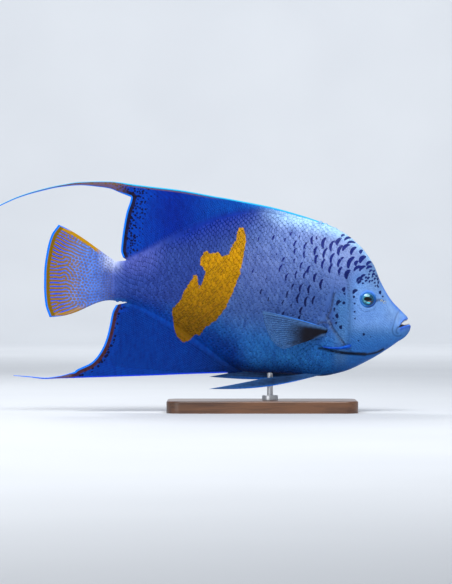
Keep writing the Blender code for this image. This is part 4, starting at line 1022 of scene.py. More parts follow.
class Wiring:
    """Adds nodes to a tree and joins them up, so that each tree below reads as a list of steps."""

    def __init__(self, tree):
        self.tree = tree

    def feed(self, socket, value):
        if isinstance(value, bpy.types.NodeSocket):
            self.tree.links.new(value, socket)
        else:
            socket.default_value = value

    def node(self, kind, **settings):
        made = self.tree.nodes.new(kind)
        for name, value in settings.items():
            setattr(made, name, value)
        return made

    def add(self, kind, given=None, **settings):
        """Adds a node, joins or sets its inputs by name or number, and returns its outputs."""
        made = self.node(kind, **settings)
        for key, value in (given or {}).items():
            self.feed(made.inputs[key], value)
        return made.outputs

    def math(self, operation, first, second=0.0):
        return self.add("ShaderNodeMath", {0: first, 1: second}, operation=operation)[0]

    def sum(self, first, *rest):
        for value in rest:
            first = self.math("ADD", first, value)
        return first

    def times(self, first, *rest):
        for value in rest:
            first = self.math("MULTIPLY", first, value)
        return first

    def less(self, first, second):
        return self.math("SUBTRACT", first, second)

    def rest(self, value):
        return self.less(1.0, value)

    def step(self, value, low, high):
        """Nought at the low value, one at the high one and a soft slope between them."""
        given = {0: value, 1: low, 2: high, 3: 0.0, 4: 1.0}
        return self.add("ShaderNodeMapRange", given, interpolation_type="SMOOTHSTEP")[0]

    def band(self, value, middle, reach, soft):
        """One within the reach of the middle, fading to nought over the soft width."""
        off = self.math("ABSOLUTE", self.less(value, middle))
        return self.step(off, reach + soft, max(reach - soft, 0.0))

    def mix(self, share, first, second, blend="MIX"):
        pair = [v if isinstance(v, bpy.types.NodeSocket) else (*v, 1.0) for v in (first, second)]
        given = {0: share, 6: pair[0], 7: pair[1]}
        return self.add("ShaderNodeMix", given, data_type="RGBA", blend_type=blend)[2]

    def tint(self, share, colour, factor):
        return self.mix(share, colour, factor, "MULTIPLY")

    def value(self, name, output="Fac"):
        return self.add("ShaderNodeAttribute", attribute_name=name)[output]

    def space(self, stretch=(1, 1, 1)):
        where = self.add("ShaderNodeTexCoord")["Object"]
        if stretch == (1, 1, 1):
            return where
        return self.add("ShaderNodeMapping", {"Vector": where, "Scale": stretch})[0]

    def noise(self, scale, detail=2.0, stretch=(1, 1, 1), roughness=0.5):
        """Noise in the object's own space, with the given grains per metre."""
        given = {"Vector": self.space(stretch), "Scale": scale, "Detail": detail, "Roughness": roughness}
        return self.add("ShaderNodeTexNoise", given)[0]

    def spots(self, scale, stretch, unrest):
        given = {"Vector": self.space(stretch), "Scale": scale, "Randomness": unrest}
        return self.add("ShaderNodeTexVoronoi", given, feature="F1")["Distance"]

    def bump(self, height, strength, distance):
        return self.add("ShaderNodeBump", {"Height": height, "Strength": strength, "Distance": distance})[0]

    def parts(self, vector):
        """The x, y and z of a vector."""
        return self.add("ShaderNodeSeparateXYZ", {0: vector})

    def vector(self, x, y, z=0.0):
        return self.add("ShaderNodeCombineXYZ", {0: x, 1: y, 2: z})[0]

    def named(self, label):
        return self.add("GeometryNodeInputNamedAttribute", {"Name": label}, data_type="FLOAT_VECTOR")[0]

    def store(self, geometry, name, value, kind, domain="POINT"):
        """Writes a named value on a geometry."""
        given = {"Geometry": geometry, "Name": name, "Value": value}
        return self.add("GeometryNodeStoreNamedAttribute", given, data_type=kind, domain=domain)[0]

    def scatter(self, points, piece, ways, size=(1.0, 1.0, 1.0)):
        """Sets the piece on every point, turned by the point's own ways, and makes the copies real."""
        ways = dict(enumerate(ways))
        turn = self.add("FunctionNodeAxesToRotation", ways, primary_axis="Z", secondary_axis="X")
        given = {"Points": points, "Instance": piece, "Rotation": turn[0], "Scale": size}
        copies = self.add("GeometryNodeInstanceOnPoints", given)
        return self.add("GeometryNodeRealizeInstances", {0: copies[0]})[0]

    def put_out(self, geometry, finish):
        """Gives the geometry its material and puts it out of the tree."""
        clad = self.add("GeometryNodeSetMaterial", {"Geometry": geometry, "Material": finish})
        self.add("NodeGroupOutput", {0: clad[0]})


def new_tree(name, kind, given, results):
    """A tree with its inputs and outputs, each given as a kind of socket or as the number it starts from."""
    tree = bpy.data.node_groups.new(name, kind)
    for way, sockets in (("INPUT", given), ("OUTPUT", results)):
        for label, value in sockets.items():
            sort = value if isinstance(value, str) else type(value).__name__.capitalize()
            made = tree.interface.new_socket(label, in_out=way, socket_type=f"NodeSocket{sort}")
            if sort != value:
                made.default_value = value
    w = Wiring(tree)
    return tree, w, w.add("NodeGroupInput")


def surface(name, **settings):
    """A material with its main shader's plain settings made, and the wiring to add to it."""
    finish = bpy.data.materials.new(name)
    finish.use_nodes = True
    shader = finish.node_tree.nodes["Principled BSDF"]
    for label, value in settings.items():
        shader.inputs[label.replace("_", " ")].default_value = value
    return finish, Wiring(finish.node_tree), shader.inputs


# Factors that darken or lighten the ground colour under them.
CLOUD_SHADE, GRAIN_LIGHT = (0.72, 0.78, 0.88), (1.35, 1.3, 1.18)
STREAK_SHADE, STREAK_LIGHT = (0.7, 0.75, 0.84), (1.3, 1.24, 1.12)
SCALE_LIGHTER, SCALE_DARKER = (1.28, 1.24, 1.14), (0.42, 0.48, 0.62)


def fish_colours():
    """The colour of skin and scales alike: blue ground, yellow bar and dark marks."""
    results = {"Colour": "Color", "Bar": "Float", "Marks": "Float", "Height": "Float"}
    tree, w, given = new_tree("fish_colours", "ShaderNodeTree", {"Grain": 0.5}, results)
    cloud = w.noise(55, 3)
    grain = w.noise(420, 2, (1, 1, 0.45))
    ground = w.value("ground", "Color")
    ground = w.tint(w.times(w.step(cloud, 0.35, 0.7), 0.5), ground, CLOUD_SHADE)
    ground = w.tint(w.times(given["Grain"], w.step(grain, 0.42, 0.72)), ground, GRAIN_LIGHT)
    streak = w.noise(330, 2, (1, 0.4, 0.3))
    x, _, z = w.parts(w.space())
    on_flank = w.sum(0.25, w.times(w.step(x, 0.085, 0.06), 0.75))
    ground = w.tint(w.times(w.step(streak, 0.5, 0.68), on_flank, 0.8), ground, STREAK_SHADE)
    ground = w.tint(w.times(w.step(streak, 0.5, 0.34), on_flank, 0.6), ground, STREAK_LIGHT)
    frayed = w.sum(w.times(w.less(w.noise(260, 2), 0.5), 2.2), w.times(w.less(w.noise(620, 1), 0.5), 2.4))
    bar = w.step(w.sum(w.value("bar"), frayed), -0.45, 0.45)
    yellow = w.mix(w.step(z, 0.075, 0.165), BAR_LOW, BAR_TOP)
    yellow = w.mix(w.times(w.step(grain, 0.4, 0.7), 0.35), yellow, BAR_GRAIN)
    colour = w.mix(bar, ground, yellow)
    marks = w.step(w.sum(w.value("marks"), w.times(w.less(w.noise(900, 1), 0.5), 0.5)), -0.3, 0.25)
    dark = w.mix(w.step(z, 0.11, 0.16), MARK_LOW, MARK_TOP)
    colour = w.mix(w.times(marks, 0.94), colour, dark)
    maze = w.step(w.value("maze"), -0.26, -0.08)
    faint = w.times(w.step(x, -0.205, -0.16), 0.42)
    maze_hue = w.mix(w.step(x, -0.186, -0.158), TAIL_ORANGE, DOT_BROWN)
    colour = w.mix(w.times(maze, w.less(0.97, faint)), colour, maze_hue)
    # Painted shade in the head's folds, grooves and gill slit: navy, with a rusty grey in some folds.
    crease_shade_hue = w.mix(w.value("rust"), CREASE_SHADE_NAVY, CREASE_SHADE_RUST)
    colour = w.mix(w.times(w.value("fold_shade"), 0.95), colour, crease_shade_hue)
    # Pale lines on the head's ridges, partly painted highlight.
    colour = w.mix(w.times(w.value("ridge"), 0.5), colour, RIDGE_HIGHLIGHT)
    marks = w.math("MAXIMUM", marks, maze)
    w.add("NodeGroupOutput", {"Colour": colour, "Bar": bar, "Marks": marks, "Height": grain})
    return tree


def colours_in(w, group, grain):
    return w.add("ShaderNodeGroup", {"Grain": grain}, node_tree=group)


def skin_material(group):
    """Bare skin of the head and the fins, with the bright rims, dark bands and mazes of the fins."""
    finish, w, out = surface("fish_skin_blue", Roughness=0.45, Specular_IOR_Level=0.08)
    seen = colours_in(w, group, 0.5)
    colour = seen["Colour"]
    rear, front, fin, tail = (w.value(name) for name in ("rear", "front", "fin", "tail"))
    streamer = w.value("streamer")
    on_fin = w.step(fin, 1.5, 6)
    on_tail = w.step(tail, 2, 10)

    fan = w.math("SINE", w.times(w.value("ray"), 4 * pi))
    ray_tint = w.times(w.step(fan, 0.1, 0.9), w.math("MAXIMUM", on_fin, on_tail))
    colour = w.mix(w.times(ray_tint, 0.25), colour, RAY_NAVY)

    x, _, z = w.parts(w.space())
    above = w.step(z, 0.09, 0.12)
    low = w.rest(above)
    spot_reach = w.sum(w.times(above, w.step(rear, 36, 20)), w.times(low, w.step(rear, 9.2, 8.2)))
    shrink = w.times(w.step(rear, 8, 28), 0.2)
    far_up = w.step(z, 0.15, 0.175)
    fine_spots, large_spots = w.spots(400, (1, 0.15, 1), 0.75), w.spots(310, (1, 0.15, 1), 0.6)
    spots = w.sum(w.times(fine_spots, far_up), w.times(large_spots, w.rest(far_up)))
    spots = w.step(w.sum(spots, shrink, -0.03, w.times(far_up, -0.03)), 0.46, 0.36)
    colour = w.mix(w.times(spots, spot_reach, on_fin, 0.97), colour, SPOT_DARK)
    band = w.times(w.step(rear, 5.8, 4.6), on_fin, w.rest(streamer))
    colour = w.mix(w.times(band, 0.9), colour, w.mix(above, BAND_RED, BAND_BROWN))
    brown_line = w.times(w.band(front, 2.2, 0.55, 0.4), on_fin, above, w.step(x, -0.03, -0.075))
    colour = w.mix(w.times(brown_line, 0.6), colour, RIM_BROWN)
    colour = w.mix(w.times(streamer, 0.6), colour, RIM_BROWN)
    front_rim = w.step(w.sum(front, w.times(streamer, 0.7)), 1.6, 0.9)
    rear_rim = w.step(w.sum(rear, w.times(streamer, 1.1)), 2.1, 1.4)
    colour = w.mix(w.times(front_rim, on_fin), colour, w.mix(above, RIM_LOW, RIM_CYAN))
    colour = w.mix(w.times(rear_rim, on_fin), colour, RIM_AZURE)

    near_rim = w.times(w.step(rear, 30, 12), on_tail)
    colour = w.mix(w.times(near_rim, w.step(w.value("maze"), -0.2, -0.34), 0.9), colour, TAIL_GAP)
    upper_side = w.times(w.step(z, 0.125, 0.135), w.step(tail, 16, 24))
    lower_side = w.times(w.step(z, 0.135, 0.125), w.step(tail, 30, 40), 0.8)
    tail_side = w.times(w.step(front, 4.0, 2.8), w.sum(upper_side, lower_side))
    colour = w.mix(tail_side, colour, TAIL_SIDE)
    colour = w.mix(w.times(w.step(rear, 6.4, 5.2), on_tail), colour, TAIL_BAND)
    side_edge = w.times(w.step(front, 1.2, 0.6), w.step(rear, 16, 8))
    edge = w.math("MAXIMUM", w.step(rear, 2.5, 1.7), side_edge)
    colour = w.mix(w.times(edge, on_tail), colour, RIM_AZURE)
    w.feed(out["Base Color"], colour)
    fine = w.noise(1100, 2)
    height = w.sum(w.times(fine, 0.35), w.times(ray_tint, -0.6), w.times(seen["Height"], 0.4))
    w.feed(out["Normal"], w.bump(height, 0.35, 0.0003))
    w.feed(out["Roughness"], w.sum(0.32, w.times(fine, 0.22)))
    return finish


def scale_material(group):
    """The scales: the skin's colours, each scale a little lighter or darker, with a dark dash just past the
    free edge of the scale ahead, partly the fish's own marks and partly painted shadow, and a paler free
    edge, partly a painted highlight.
    """
    finish, w, out = surface("fish_scale_blue", Roughness=0.45, Specular_IOR_Level=0.1)
    seen = colours_in(w, group, 0.35)
    lobe, shade = w.value("lobe"), w.value("shade")
    plain = w.rest(seen["Marks"])
    tone = w.value("tone")
    colour = w.tint(w.times(w.step(shade, 0.0, 1.0), plain, tone, 0.6), seen["Colour"], SCALE_LIGHTER)
    colour = w.tint(w.times(w.step(shade, 0.0, -1.0), tone, 0.26), colour, SCALE_DARKER)
    upper = w.value("upper")
    lean = w.sum(lobe, w.times(upper, 0.3))
    on_upper = w.step(upper, 0.15, 0.45)
    calm = w.sum(1.0, w.times(w.step(w.parts(w.space())[2], 0.15, 0.18), -0.55))
    # Dark dash just past the free edge of the scale ahead: partly the fish's own marks, partly painted shadow
    # under that edge.
    dash_and_shadow = w.times(w.band(lean, 0.75, 0.08, 0.09), on_upper, tone, calm, w.sum(0.5, w.times(shade, -0.4)))
    colour = w.tint(dash_and_shadow, colour, SCALE_DARKER)
    brown = w.times(w.band(lean, 0.77, 0.07, 0.07), on_upper, w.step(shade, 0.5, -0.5))
    brown = w.times(brown, seen["Bar"], plain, 0.8)
    colour = w.mix(brown, colour, SCALE_BROWN)
    # Paler free edge on the upper half, partly a painted highlight.
    colour = w.tint(w.times(w.step(lobe, 0.84, 1.0), on_upper, tone, plain, 0.3), colour, SCALE_LIGHTER)
    w.feed(out["Base Color"], colour)
    w.feed(out["Roughness"], w.sum(0.36, w.times(w.noise(800), 0.16)))
    w.feed(out["Normal"], w.bump(w.noise(1500, 2), 0.2, 0.0002))
    return finish


def scale_plate(w, given):
    """One thin, domed plate with a rounded end, which reaches from nought to one along its lie."""
    grid = w.add("GeometryNodeMeshGrid", {"Size X": 1.0, "Size Y": 2.0, "Vertices X": 5, "Vertices Y": 5})
    spot, across, _ = w.parts(w.add("GeometryNodeInputPosition")[0])
    along, across_sq = w.sum(spot, 0.5), w.times(across, across)
    far = w.math("POWER", along, 4.0)
    near = w.math("POWER", w.rest(along), 2.0)
    width = w.sum(1.0, w.times(near, -0.35), w.times(far, -0.28))
    x = w.less(along, w.times(along, across_sq, 0.26))
    y = w.times(across, width, 0.5)
    dome = w.less(w.times(w.math("POWER", along, 1.4), given["Rise"]), w.times(across_sq, given["Camber"]))
    sunk = w.less(dome, w.times(near, given["Rise"], 0.5))
    off = [w.math("ABSOLUTE", w.times(spot, 2.0)), w.math("ABSOLUTE", across)]
    ends, sides = (w.rest(w.math("POWER", value, 4.0)) for value in off)
    thick = w.times(ends, sides, given["Thickness"])

    local = w.vector(along, w.sum(w.times(across, 0.5), 0.5))
    marked = w.store(grid["Mesh"], "local", local, "FLOAT_VECTOR")
    faces = []
    for sign in (0.5, -0.5):
        spread = w.vector(x, y, w.sum(sunk, w.times(thick, sign)))
        faces.append(w.add("GeometryNodeSetPosition", {"Geometry": marked, "Position": spread})[0])
    upper, lower = faces[0], w.add("GeometryNodeFlipFaces", {"Mesh": faces[1]})[0]
    joined = w.node("GeometryNodeJoinGeometry")
    for face in (lower, upper):
        w.feed(joined.inputs[0], face)
    return w.add("GeometryNodeMergeByDistance", {"Geometry": joined.outputs[0], "Distance": TINY})[0]


def scale_tree(finish):
    """A tree that sets a plate on each point, lays its patch of the unwrap on it and makes them one mesh."""
    given = {"Roots": "Geometry", "Rise": 0.00034, "Thickness": 0.00012, "Camber": 0.0001, "Patch": 0.003,
             "Tone": 1.0, "Seed": 1}
    tree, w, given = new_tree("overlapping_scales", "GeometryNodeTree", given, {"Scales": "Geometry"})
    plate = scale_plate(w, given)
    shade = w.add("FunctionNodeRandomValue", {2: -1.0, 3: 1.0, "Seed": given["Seed"]}, data_type="FLOAT")[1]
    toned = w.store(given["Roots"], "shade", w.times(shade, given["Tone"]), "FLOAT")
    real = w.scatter(toned, plate, (w.named("out"), w.named("lie")), w.named("size"))
    patch = {0: w.named("local"), "Scale": given["Patch"]}
    patch = w.add("ShaderNodeVectorMath", patch, operation="SCALE")[0]
    uv = w.add("ShaderNodeVectorMath", {0: w.named("unwrap"), 1: patch}, operation="ADD")[0]
    mapped = w.store(real, "OFBake", uv, "FLOAT2", "CORNER")
    w.put_out(w.add("GeometryNodeSetShadeSmooth", {0: mapped})[0], finish)
    return tree


def off_fins(x, _):
    return np.zeros(x.shape)


def over_back(x, z):
    return np.maximum(z - monotone(BACK_LINE, x), 0)


def under_belly(x, z):
    return np.maximum(monotone(BELLY_LINE, x) - z, 0)


def make_scales(name, places, side, tree, seed, rise, tone, height):
    """One coat of scales as a plain mesh, with the skin's markings written on it."""
    mesh = grow(scale_roots(name + "_roots", places, side), tree, name, Seed=seed, Rise=rise, Tone=tone)
    x, _, z = read_vectors(mesh.vertices, "co").T / MM
    lobe, across, _ = read_vectors(mesh.attributes["local"].data).T
    calm = read_vectors(mesh.attributes["size"].data)[:, 2]
    set_values(mesh, "lobe", lobe)
    set_values(mesh, "upper", across if side == LEFT else 1 - across)
    set_values(mesh, "tone", tone * calm)
    known = {"fin": height(x, z), "lip": np.zeros(x.shape), "mouth": np.zeros(x.shape)}
    paint_fields(mesh, x, z, np.full(x.shape, side == LEFT), known)
    for spare in ("out", "lie", "size", "unwrap", "local"):
        if spare in mesh.attributes:
            mesh.attributes.remove(mesh.attributes[spare])
    return place(name, mesh, smooth=False)


def skin_frame(x, z, side):
    """A point of the head's surface with the way out of it, the way forward along it and the way up."""
    step = 4.0
    half = skin_half_plain(np.array([x, x - step, x + step, x, x]), np.array([z, z, z, z - step, z + step]))
    out = Vector((-(half[2] - half[1]) / (2 * step), 1, -(half[4] - half[3]) / (2 * step))).normalized()
    forward = (Vector((1, 0, 0)) - out * out.x).normalized()
    up = out.cross(forward).normalized()
    up = up if up.z > 0 else -up
    frame_at = [Vector((x, half[0], z)), out, forward, up]
    return [Vector((v.x, side * v.y, v.z)) for v in frame_at]


IRIS_DEEP, IRIS_TEAL, IRIS_REAR = srgb(10, 46, 70), srgb(20, 88, 112), srgb(34, 130, 146)
# The first of the next pair is painted shade for the lower front of the iris.
IRIS_LOW_SHADE, IRIS_TOP = srgb(18, 22, 74), srgb(64, 140, 190)
GLINT_REAR, GLINT_LOW = srgb(110, 172, 182), srgb(84, 206, 232)
# The top glint is a painted reflection above the pupil.
GLINT_AMBER, GLINT_TOP, PUPIL_BLACK = srgb(196, 112, 52), srgb(150, 204, 216), srgb(1, 2, 5)
EYE_RIM, EYE_RIM_LOW = srgb(40, 118, 196), srgb(14, 88, 132)
# The third of these is painted light for the top of the ring round the eye, the fourth painted shade.
RING_BLUE, RING_LIGHT, RING_TOP_HIGHLIGHT, RING_SHADE = (
    srgb(40, 104, 176), srgb(58, 122, 192), srgb(92, 146, 244), srgb(26, 60, 128))


def eye_material():
    """A glossy eye: dark pupil, teal and navy iris with a bright spot under the pupil, painted shade on the
    iris's lower front and a painted reflection above the pupil.
    """
    finish, w, out = surface(
        "eye_teal", Roughness=0.3, Specular_IOR_Level=0.1, Coat_Weight=0.6, Coat_Roughness=0.02)
    u, v = w.value("gaze_u"), w.value("gaze_v")
    reach = w.math("SQRT", w.sum(w.times(u, u), w.times(v, v)))
    fibre = w.noise(900, 3)
    colour = w.mix(w.step(fibre, 0.3, 0.7), IRIS_DEEP, IRIS_TEAL)
    colour = w.mix(w.times(w.step(u, -1.5, -5.5), 0.85), colour, IRIS_REAR)
    low = w.less(w.times(u, 0.6), v)
    # Painted shade on the lower front of the iris.
    colour = w.mix(w.times(w.step(low, 2.5, 6.5), 0.9), colour, IRIS_LOW_SHADE)
    colour = w.mix(w.times(w.step(v, 3.2, 5.6), 0.6), colour, IRIS_TOP)

    def patch(centre_u, centre_v, reach_u, reach_v, soft):
        du = w.times(w.less(u, centre_u), 1 / reach_u)
        dv = w.times(w.less(v, centre_v), 1 / reach_v)
        return w.step(w.sum(w.times(du, du), w.times(dv, dv)), 1 + soft, 1 - soft)

    # The last of these patches is a painted reflection above the pupil.
    for shape, strength, paint in (((-3.9, -2.6, 1.5, 0.9, 0.6), 0.7, GLINT_REAR),
                                   ((-0.4, -3.9, 2.1, 0.95, 0.5), 0.95, GLINT_LOW),
                                   ((0.5, -2.75, 2.1, 0.28, 0.5), 0.8, GLINT_AMBER),
                                   ((-1.9, 3.2, 3.0, 1.4, 0.5), 0.75, GLINT_TOP)):
        colour = w.mix(w.times(patch(*shape), strength), colour, paint)
    pupil = w.math("MAXIMUM", patch(-1.9, -0.3, 3.1, 2.2, 0.1), patch(1.0, -0.5, 2.3, 1.2, 0.25))
    colour = w.mix(pupil, colour, PUPIL_BLACK)
    rim = w.mix(w.step(v, -4, 4), EYE_RIM_LOW, EYE_RIM)
    colour = w.mix(w.times(w.step(reach, 5.3, 6.1), 0.9), colour, rim)
    w.feed(out["Base Color"], colour)
    w.feed(out["Normal"], w.bump(w.times(fibre, w.rest(pupil)), 0.15, 0.0002))
    return finish


def orbit_material():
    """The soft ring of skin around the eye: painted light in pale blue above, dark painted shade behind the
    snout and below.
    """
    finish, w, out = surface("orbit_ring_blue", Roughness=0.4, Specular_IOR_Level=0.12)
    x, _, z = w.parts(w.space())
    ahead, up = w.less(x, EYE_X * MM), w.less(z, EYE_Z * MM)
    grain = w.noise(900, 2)
    colour = w.mix(w.step(grain, 0.35, 0.7), RING_BLUE, RING_LIGHT)
    # Painted light on top of the ring, painted shade ahead of the eye and below.
    colour = w.mix(w.times(w.step(up, 0.002, 0.0068), 0.85), colour, RING_TOP_HIGHLIGHT)
    shaded = w.sum(w.times(ahead, 0.8), w.times(up, -0.9))
    colour = w.mix(w.times(w.step(shaded, 0.002, 0.0085), 0.85), colour, RING_SHADE)
    w.feed(out["Base Color"], colour)
    w.feed(out["Normal"], w.bump(grain, 0.2, 0.0002))
    return finish


def tube_faces(rings, parts, closed=False, lids=False):
    """Faces between rings of points, joined end to start if closed, or with flat ends if it has lids."""
    faces = []
    for i in range(rings if closed else rings - 1):
        start, ahead = i * parts, (i + 1) % rings * parts
        for k in range(parts):
            after = (k + 1) % parts
            faces.append((start + k, start + after, ahead + after, ahead + k))
    if lids:
        faces += [tuple(range(parts)), tuple(range((rings - 1) * parts, rings * parts))]
    return faces


def make_eye(word, side, finish):
    """A ball sunk into the head, square to its surface, that knows where its gaze lies."""
    root, out, forward, up = skin_frame(EYE_X, EYE_Z, side)
    centre = root - out * EYE_SUNK
    rings, parts = 40, 64
    vertices, gaze, faces = [], [], tube_faces(rings - 1, parts)
    for i in range(1, rings):
        for k in range(parts):
            down, turn = pi * i / rings, 2 * pi * k / parts
            du, dv = sin(down) * cos(turn), sin(down) * sin(turn)
            vertices.append(centre + (forward * du + up * dv + out * cos(down)) * EYE_RADIUS)
            gaze.append((du * EYE_RADIUS, dv * EYE_RADIUS))
    for pole, ring in ((1, 0), (-1, rings - 2)):
        vertices.append(centre + out * EYE_RADIUS * pole)
        gaze.append((0, 0))
        faces += [(len(vertices) - 1, ring * parts + k, ring * parts + (k + 1) % parts) for k in range(parts)]
    mesh = mesh_of(f"eyeball_{word}", vertices, faces)
    set_values(mesh, "gaze_u", [g[0] for g in gaze])
    set_values(mesh, "gaze_v", [g[1] for g in gaze])
    made = place(f"eyeball_{word}", mesh, finish)
    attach(made, "root")
    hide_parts(f"eye_{word}")
    return made


def ring_on_skin(name, side, centre_x, centre_z, radius, thick, lift, finish, stretch=1, parts=64, sides=12):
    """A soft ring of skin that lies on the head, half sunk into it."""
    vertices = []
    for k in range(parts):
        turn = 2 * pi * k / parts
        x = centre_x + radius * cos(turn) * stretch
        z = centre_z + radius * sin(turn)
        root, out, _, _ = skin_frame(x, z, side)
        aside = Vector((cos(turn), 0, sin(turn)))
        aside = (aside - out * aside.dot(out)).normalized()
        for m in range(sides):
            round_at = 2 * pi * m / sides
            rise = lift + thick * 0.8 * sin(round_at)
            vertices.append(root + out * rise + aside * thick * cos(round_at))
    made = place(name, mesh_of(name, vertices, tube_faces(parts, sides, closed=True)), finish)
    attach(made, "root")
    return made


TONGUE_MIDDLE, TONGUE_HALF = (138.6, 0.0, 86.4), (4.2, 2.6, 1.4)
TEETH_A_SIDE, TOOTH_LENGTH, TOOTH_RADIUS, TOOTH_INSET = 12, 1.2, 0.22, 1.0
TONGUE_VIOLET, TONGUE_DEEP, TOOTH_PALE, TOOTH_DARK = (
    srgb(86, 52, 84), srgb(40, 22, 46), srgb(190, 188, 178), srgb(140, 136, 128))


def make_tongue():
    body = bmesh.new()
    bmesh.ops.create_uvsphere(body, u_segments=32, v_segments=20, radius=MM)
    for vertex in body.verts:
        vertex.co = Vector([vertex.co[k] * TONGUE_HALF[k] + TONGUE_MIDDLE[k] * MM for k in range(3)])
    skin = plain_skin("tongue_violet", TONGUE_VIOLET, TONGUE_DEEP, 0.35)
    made = place("tongue", finished("tongue", body), skin)
    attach(made, "root")


def tooth_tree(finish):
    """A tree that sets a blunt cone on each point."""
    given = {"Roots": "Geometry", "Length": TOOTH_LENGTH * MM, "Radius": TOOTH_RADIUS * MM}
    tree, w, given = new_tree("bristle_teeth", "GeometryNodeTree", given, {"Teeth": "Geometry"})
    radius = given["Radius"]
    shape = {"Vertices": 8, "Radius Bottom": radius, "Radius Top": w.times(radius, 0.35),
             "Depth": given["Length"]}
    cone = w.add("GeometryNodeMeshCone", shape)["Mesh"]
    w.put_out(w.scatter(given["Roots"], cone, [w.named("out")]), finish)
    return tree


def make_teeth(grids):
    """Short bristle teeth in a row inside each lip."""
    finish, w, out = surface("tooth_ivory", Roughness=0.3)
    w.feed(out["Base Color"], w.mix(w.noise(2200, 2), TOOTH_PALE, TOOTH_DARK))
    tree = tooth_tree(finish)
    for name, way in (("upper_lip", -1), ("lower_lip", 1)):
        lip = grids[name]
        at = np.linspace(137.6, lip[-1, 0] - 1.2, TEETH_A_SIDE)
        z = np.interp(at, lip[:, 0], lip[:, 1]) - 0.15 * way
        half = np.maximum(np.interp(at, lip[:, 0], lip[:, 2]) - TOOTH_INSET, 0.3)
        roots = np.concatenate([np.stack([at, side * half, z], axis=1) for side in (RIGHT, LEFT)])
        outward = np.tile([0.25, 0.0, float(way)], (len(roots), 1))
        name += "_teeth"
        made = place(name, grow(bare_points(name + "_roots", roots, out=outward), tree, name), smooth=False)
        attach(made, "root")


def plain_skin(name, colour, deep, roughness):
    """Skin of one hue with fine mottling, for small trims of the head."""
    finish, w, out = surface(name, Roughness=roughness, Specular_IOR_Level=0.12)
    cloud = w.noise(500, 3)
    w.feed(out["Base Color"], w.mix(w.step(cloud, 0.35, 0.7), deep, colour))
    w.feed(out["Normal"], w.bump(w.noise(1300, 2), 0.25, 0.0002))
    return finish


NOSTRIL_PALE, NOSTRIL_BLUE, SPINE_BLUE, SPINE_DEEP = (
    srgb(206, 206, 170), srgb(120, 150, 200), srgb(0, 88, 196), srgb(0, 60, 170))
CHEEK_SPINE = [(88.5, 66.6, 1.9), (84, 65.6, 1.75), (76, 64.3, 1.3), (67, 64.5, 0.9), (59.5, 65.8, 0.3)]


def make_cheek_spine(word, side, finish):
    """The strong spine at the lower corner of the gill cover."""
    count, sides = 40, 20
    path = smooth_path(CHEEK_SPINE, count)
    depth = skin_half_plain(path[:, 0], path[:, 1])
    vertices = []
    for i, ((x, z, radius), y) in enumerate(zip(path, depth)):
        end = sqrt(min(1.0, (i + 0.02) / 3))
        for k in range(sides):
            turn = 2 * pi * k / sides
            off = radius * end
            vertices.append((x, side * (y + 0.5 * radius + off * cos(turn)), z + off * sin(turn)))
    name = f"preopercle_spine_{word}"
    made = place(name, mesh_of(name, vertices, tube_faces(count, sides, lids=True)), finish)
    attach(made, "root")
    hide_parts(f"cheek_spine_{word}")


# Colours of the paired fins: membrane, dusky parts and painted shade, rays and bright rim.
PECTORAL_COLOURS = srgb(58, 92, 142), srgb(14, 8, 14), srgb(92, 142, 200), srgb(48, 118, 220)
PELVIC_COLOURS = srgb(54, 100, 162), srgb(22, 36, 68), srgb(72, 132, 204), srgb(24, 124, 255)
PECTORAL_ROOT = ((65, 84), (61.5, 77))
PECTORAL_TIPS = [(0, 101.5), (1, 93), (3.5, 84), (8, 74), (14, 67), (21, 63.5)]
PECTORAL_SPREAD = 17
PELVIC_ROOT_X, PELVIC_ROOT_Y, PELVIC_SAG = (60, 45), 5.5, 5.2
PELVIC_POSE = {RIGHT: (0, 8), LEFT: (11.5, 4.8)}
PELVIC_TIPS = [(-53, 23.5), (-47, 24.6), (-38, 26.2), (-18, 30), (2, 34.2)]
PECTORAL_RAYS, PELVIC_RAYS, PARTS_PER_RAY = 17, 6, 6


def sheet_normal(sheet):
    out = np.cross(np.gradient(sheet, axis=1), np.gradient(sheet, axis=0))
    return out / np.linalg.norm(out, axis=-1, keepdims=True)


def blade(name, middle, half, values, finish):
    """A thin fin of varying thickness on both sides of a curved middle sheet."""
    rows, columns = middle.shape[:2]
    out = sheet_normal(middle) * half[..., None]
    vertices = np.concatenate([(middle + out).reshape(-1, 3), (middle - out).reshape(-1, 3)])
    other = rows * columns
    numbers = np.arange(other).reshape(rows, columns)
    a, b, c, d = numbers[:-1, :-1], numbers[1:, :-1], numbers[1:, 1:], numbers[:-1, 1:]
    top = np.stack([a, b, c, d], axis=-1).reshape(-1, 4)
    border = np.concatenate([numbers[:, 0], numbers[-1, 1:], numbers[-2::-1, -1], numbers[0, -2:0:-1]])
    rim = np.stack([border, np.roll(border, -1), other + np.roll(border, -1), other + border], axis=1)
    mesh = mesh_of(name, vertices, np.concatenate([top, other + top[:, ::-1], rim]))
    for label, field in values.items():
        flat = np.broadcast_to(field, (rows, columns)).ravel()
        set_values(mesh, label, np.concatenate([flat, flat]))
    return place(name, mesh, finish)


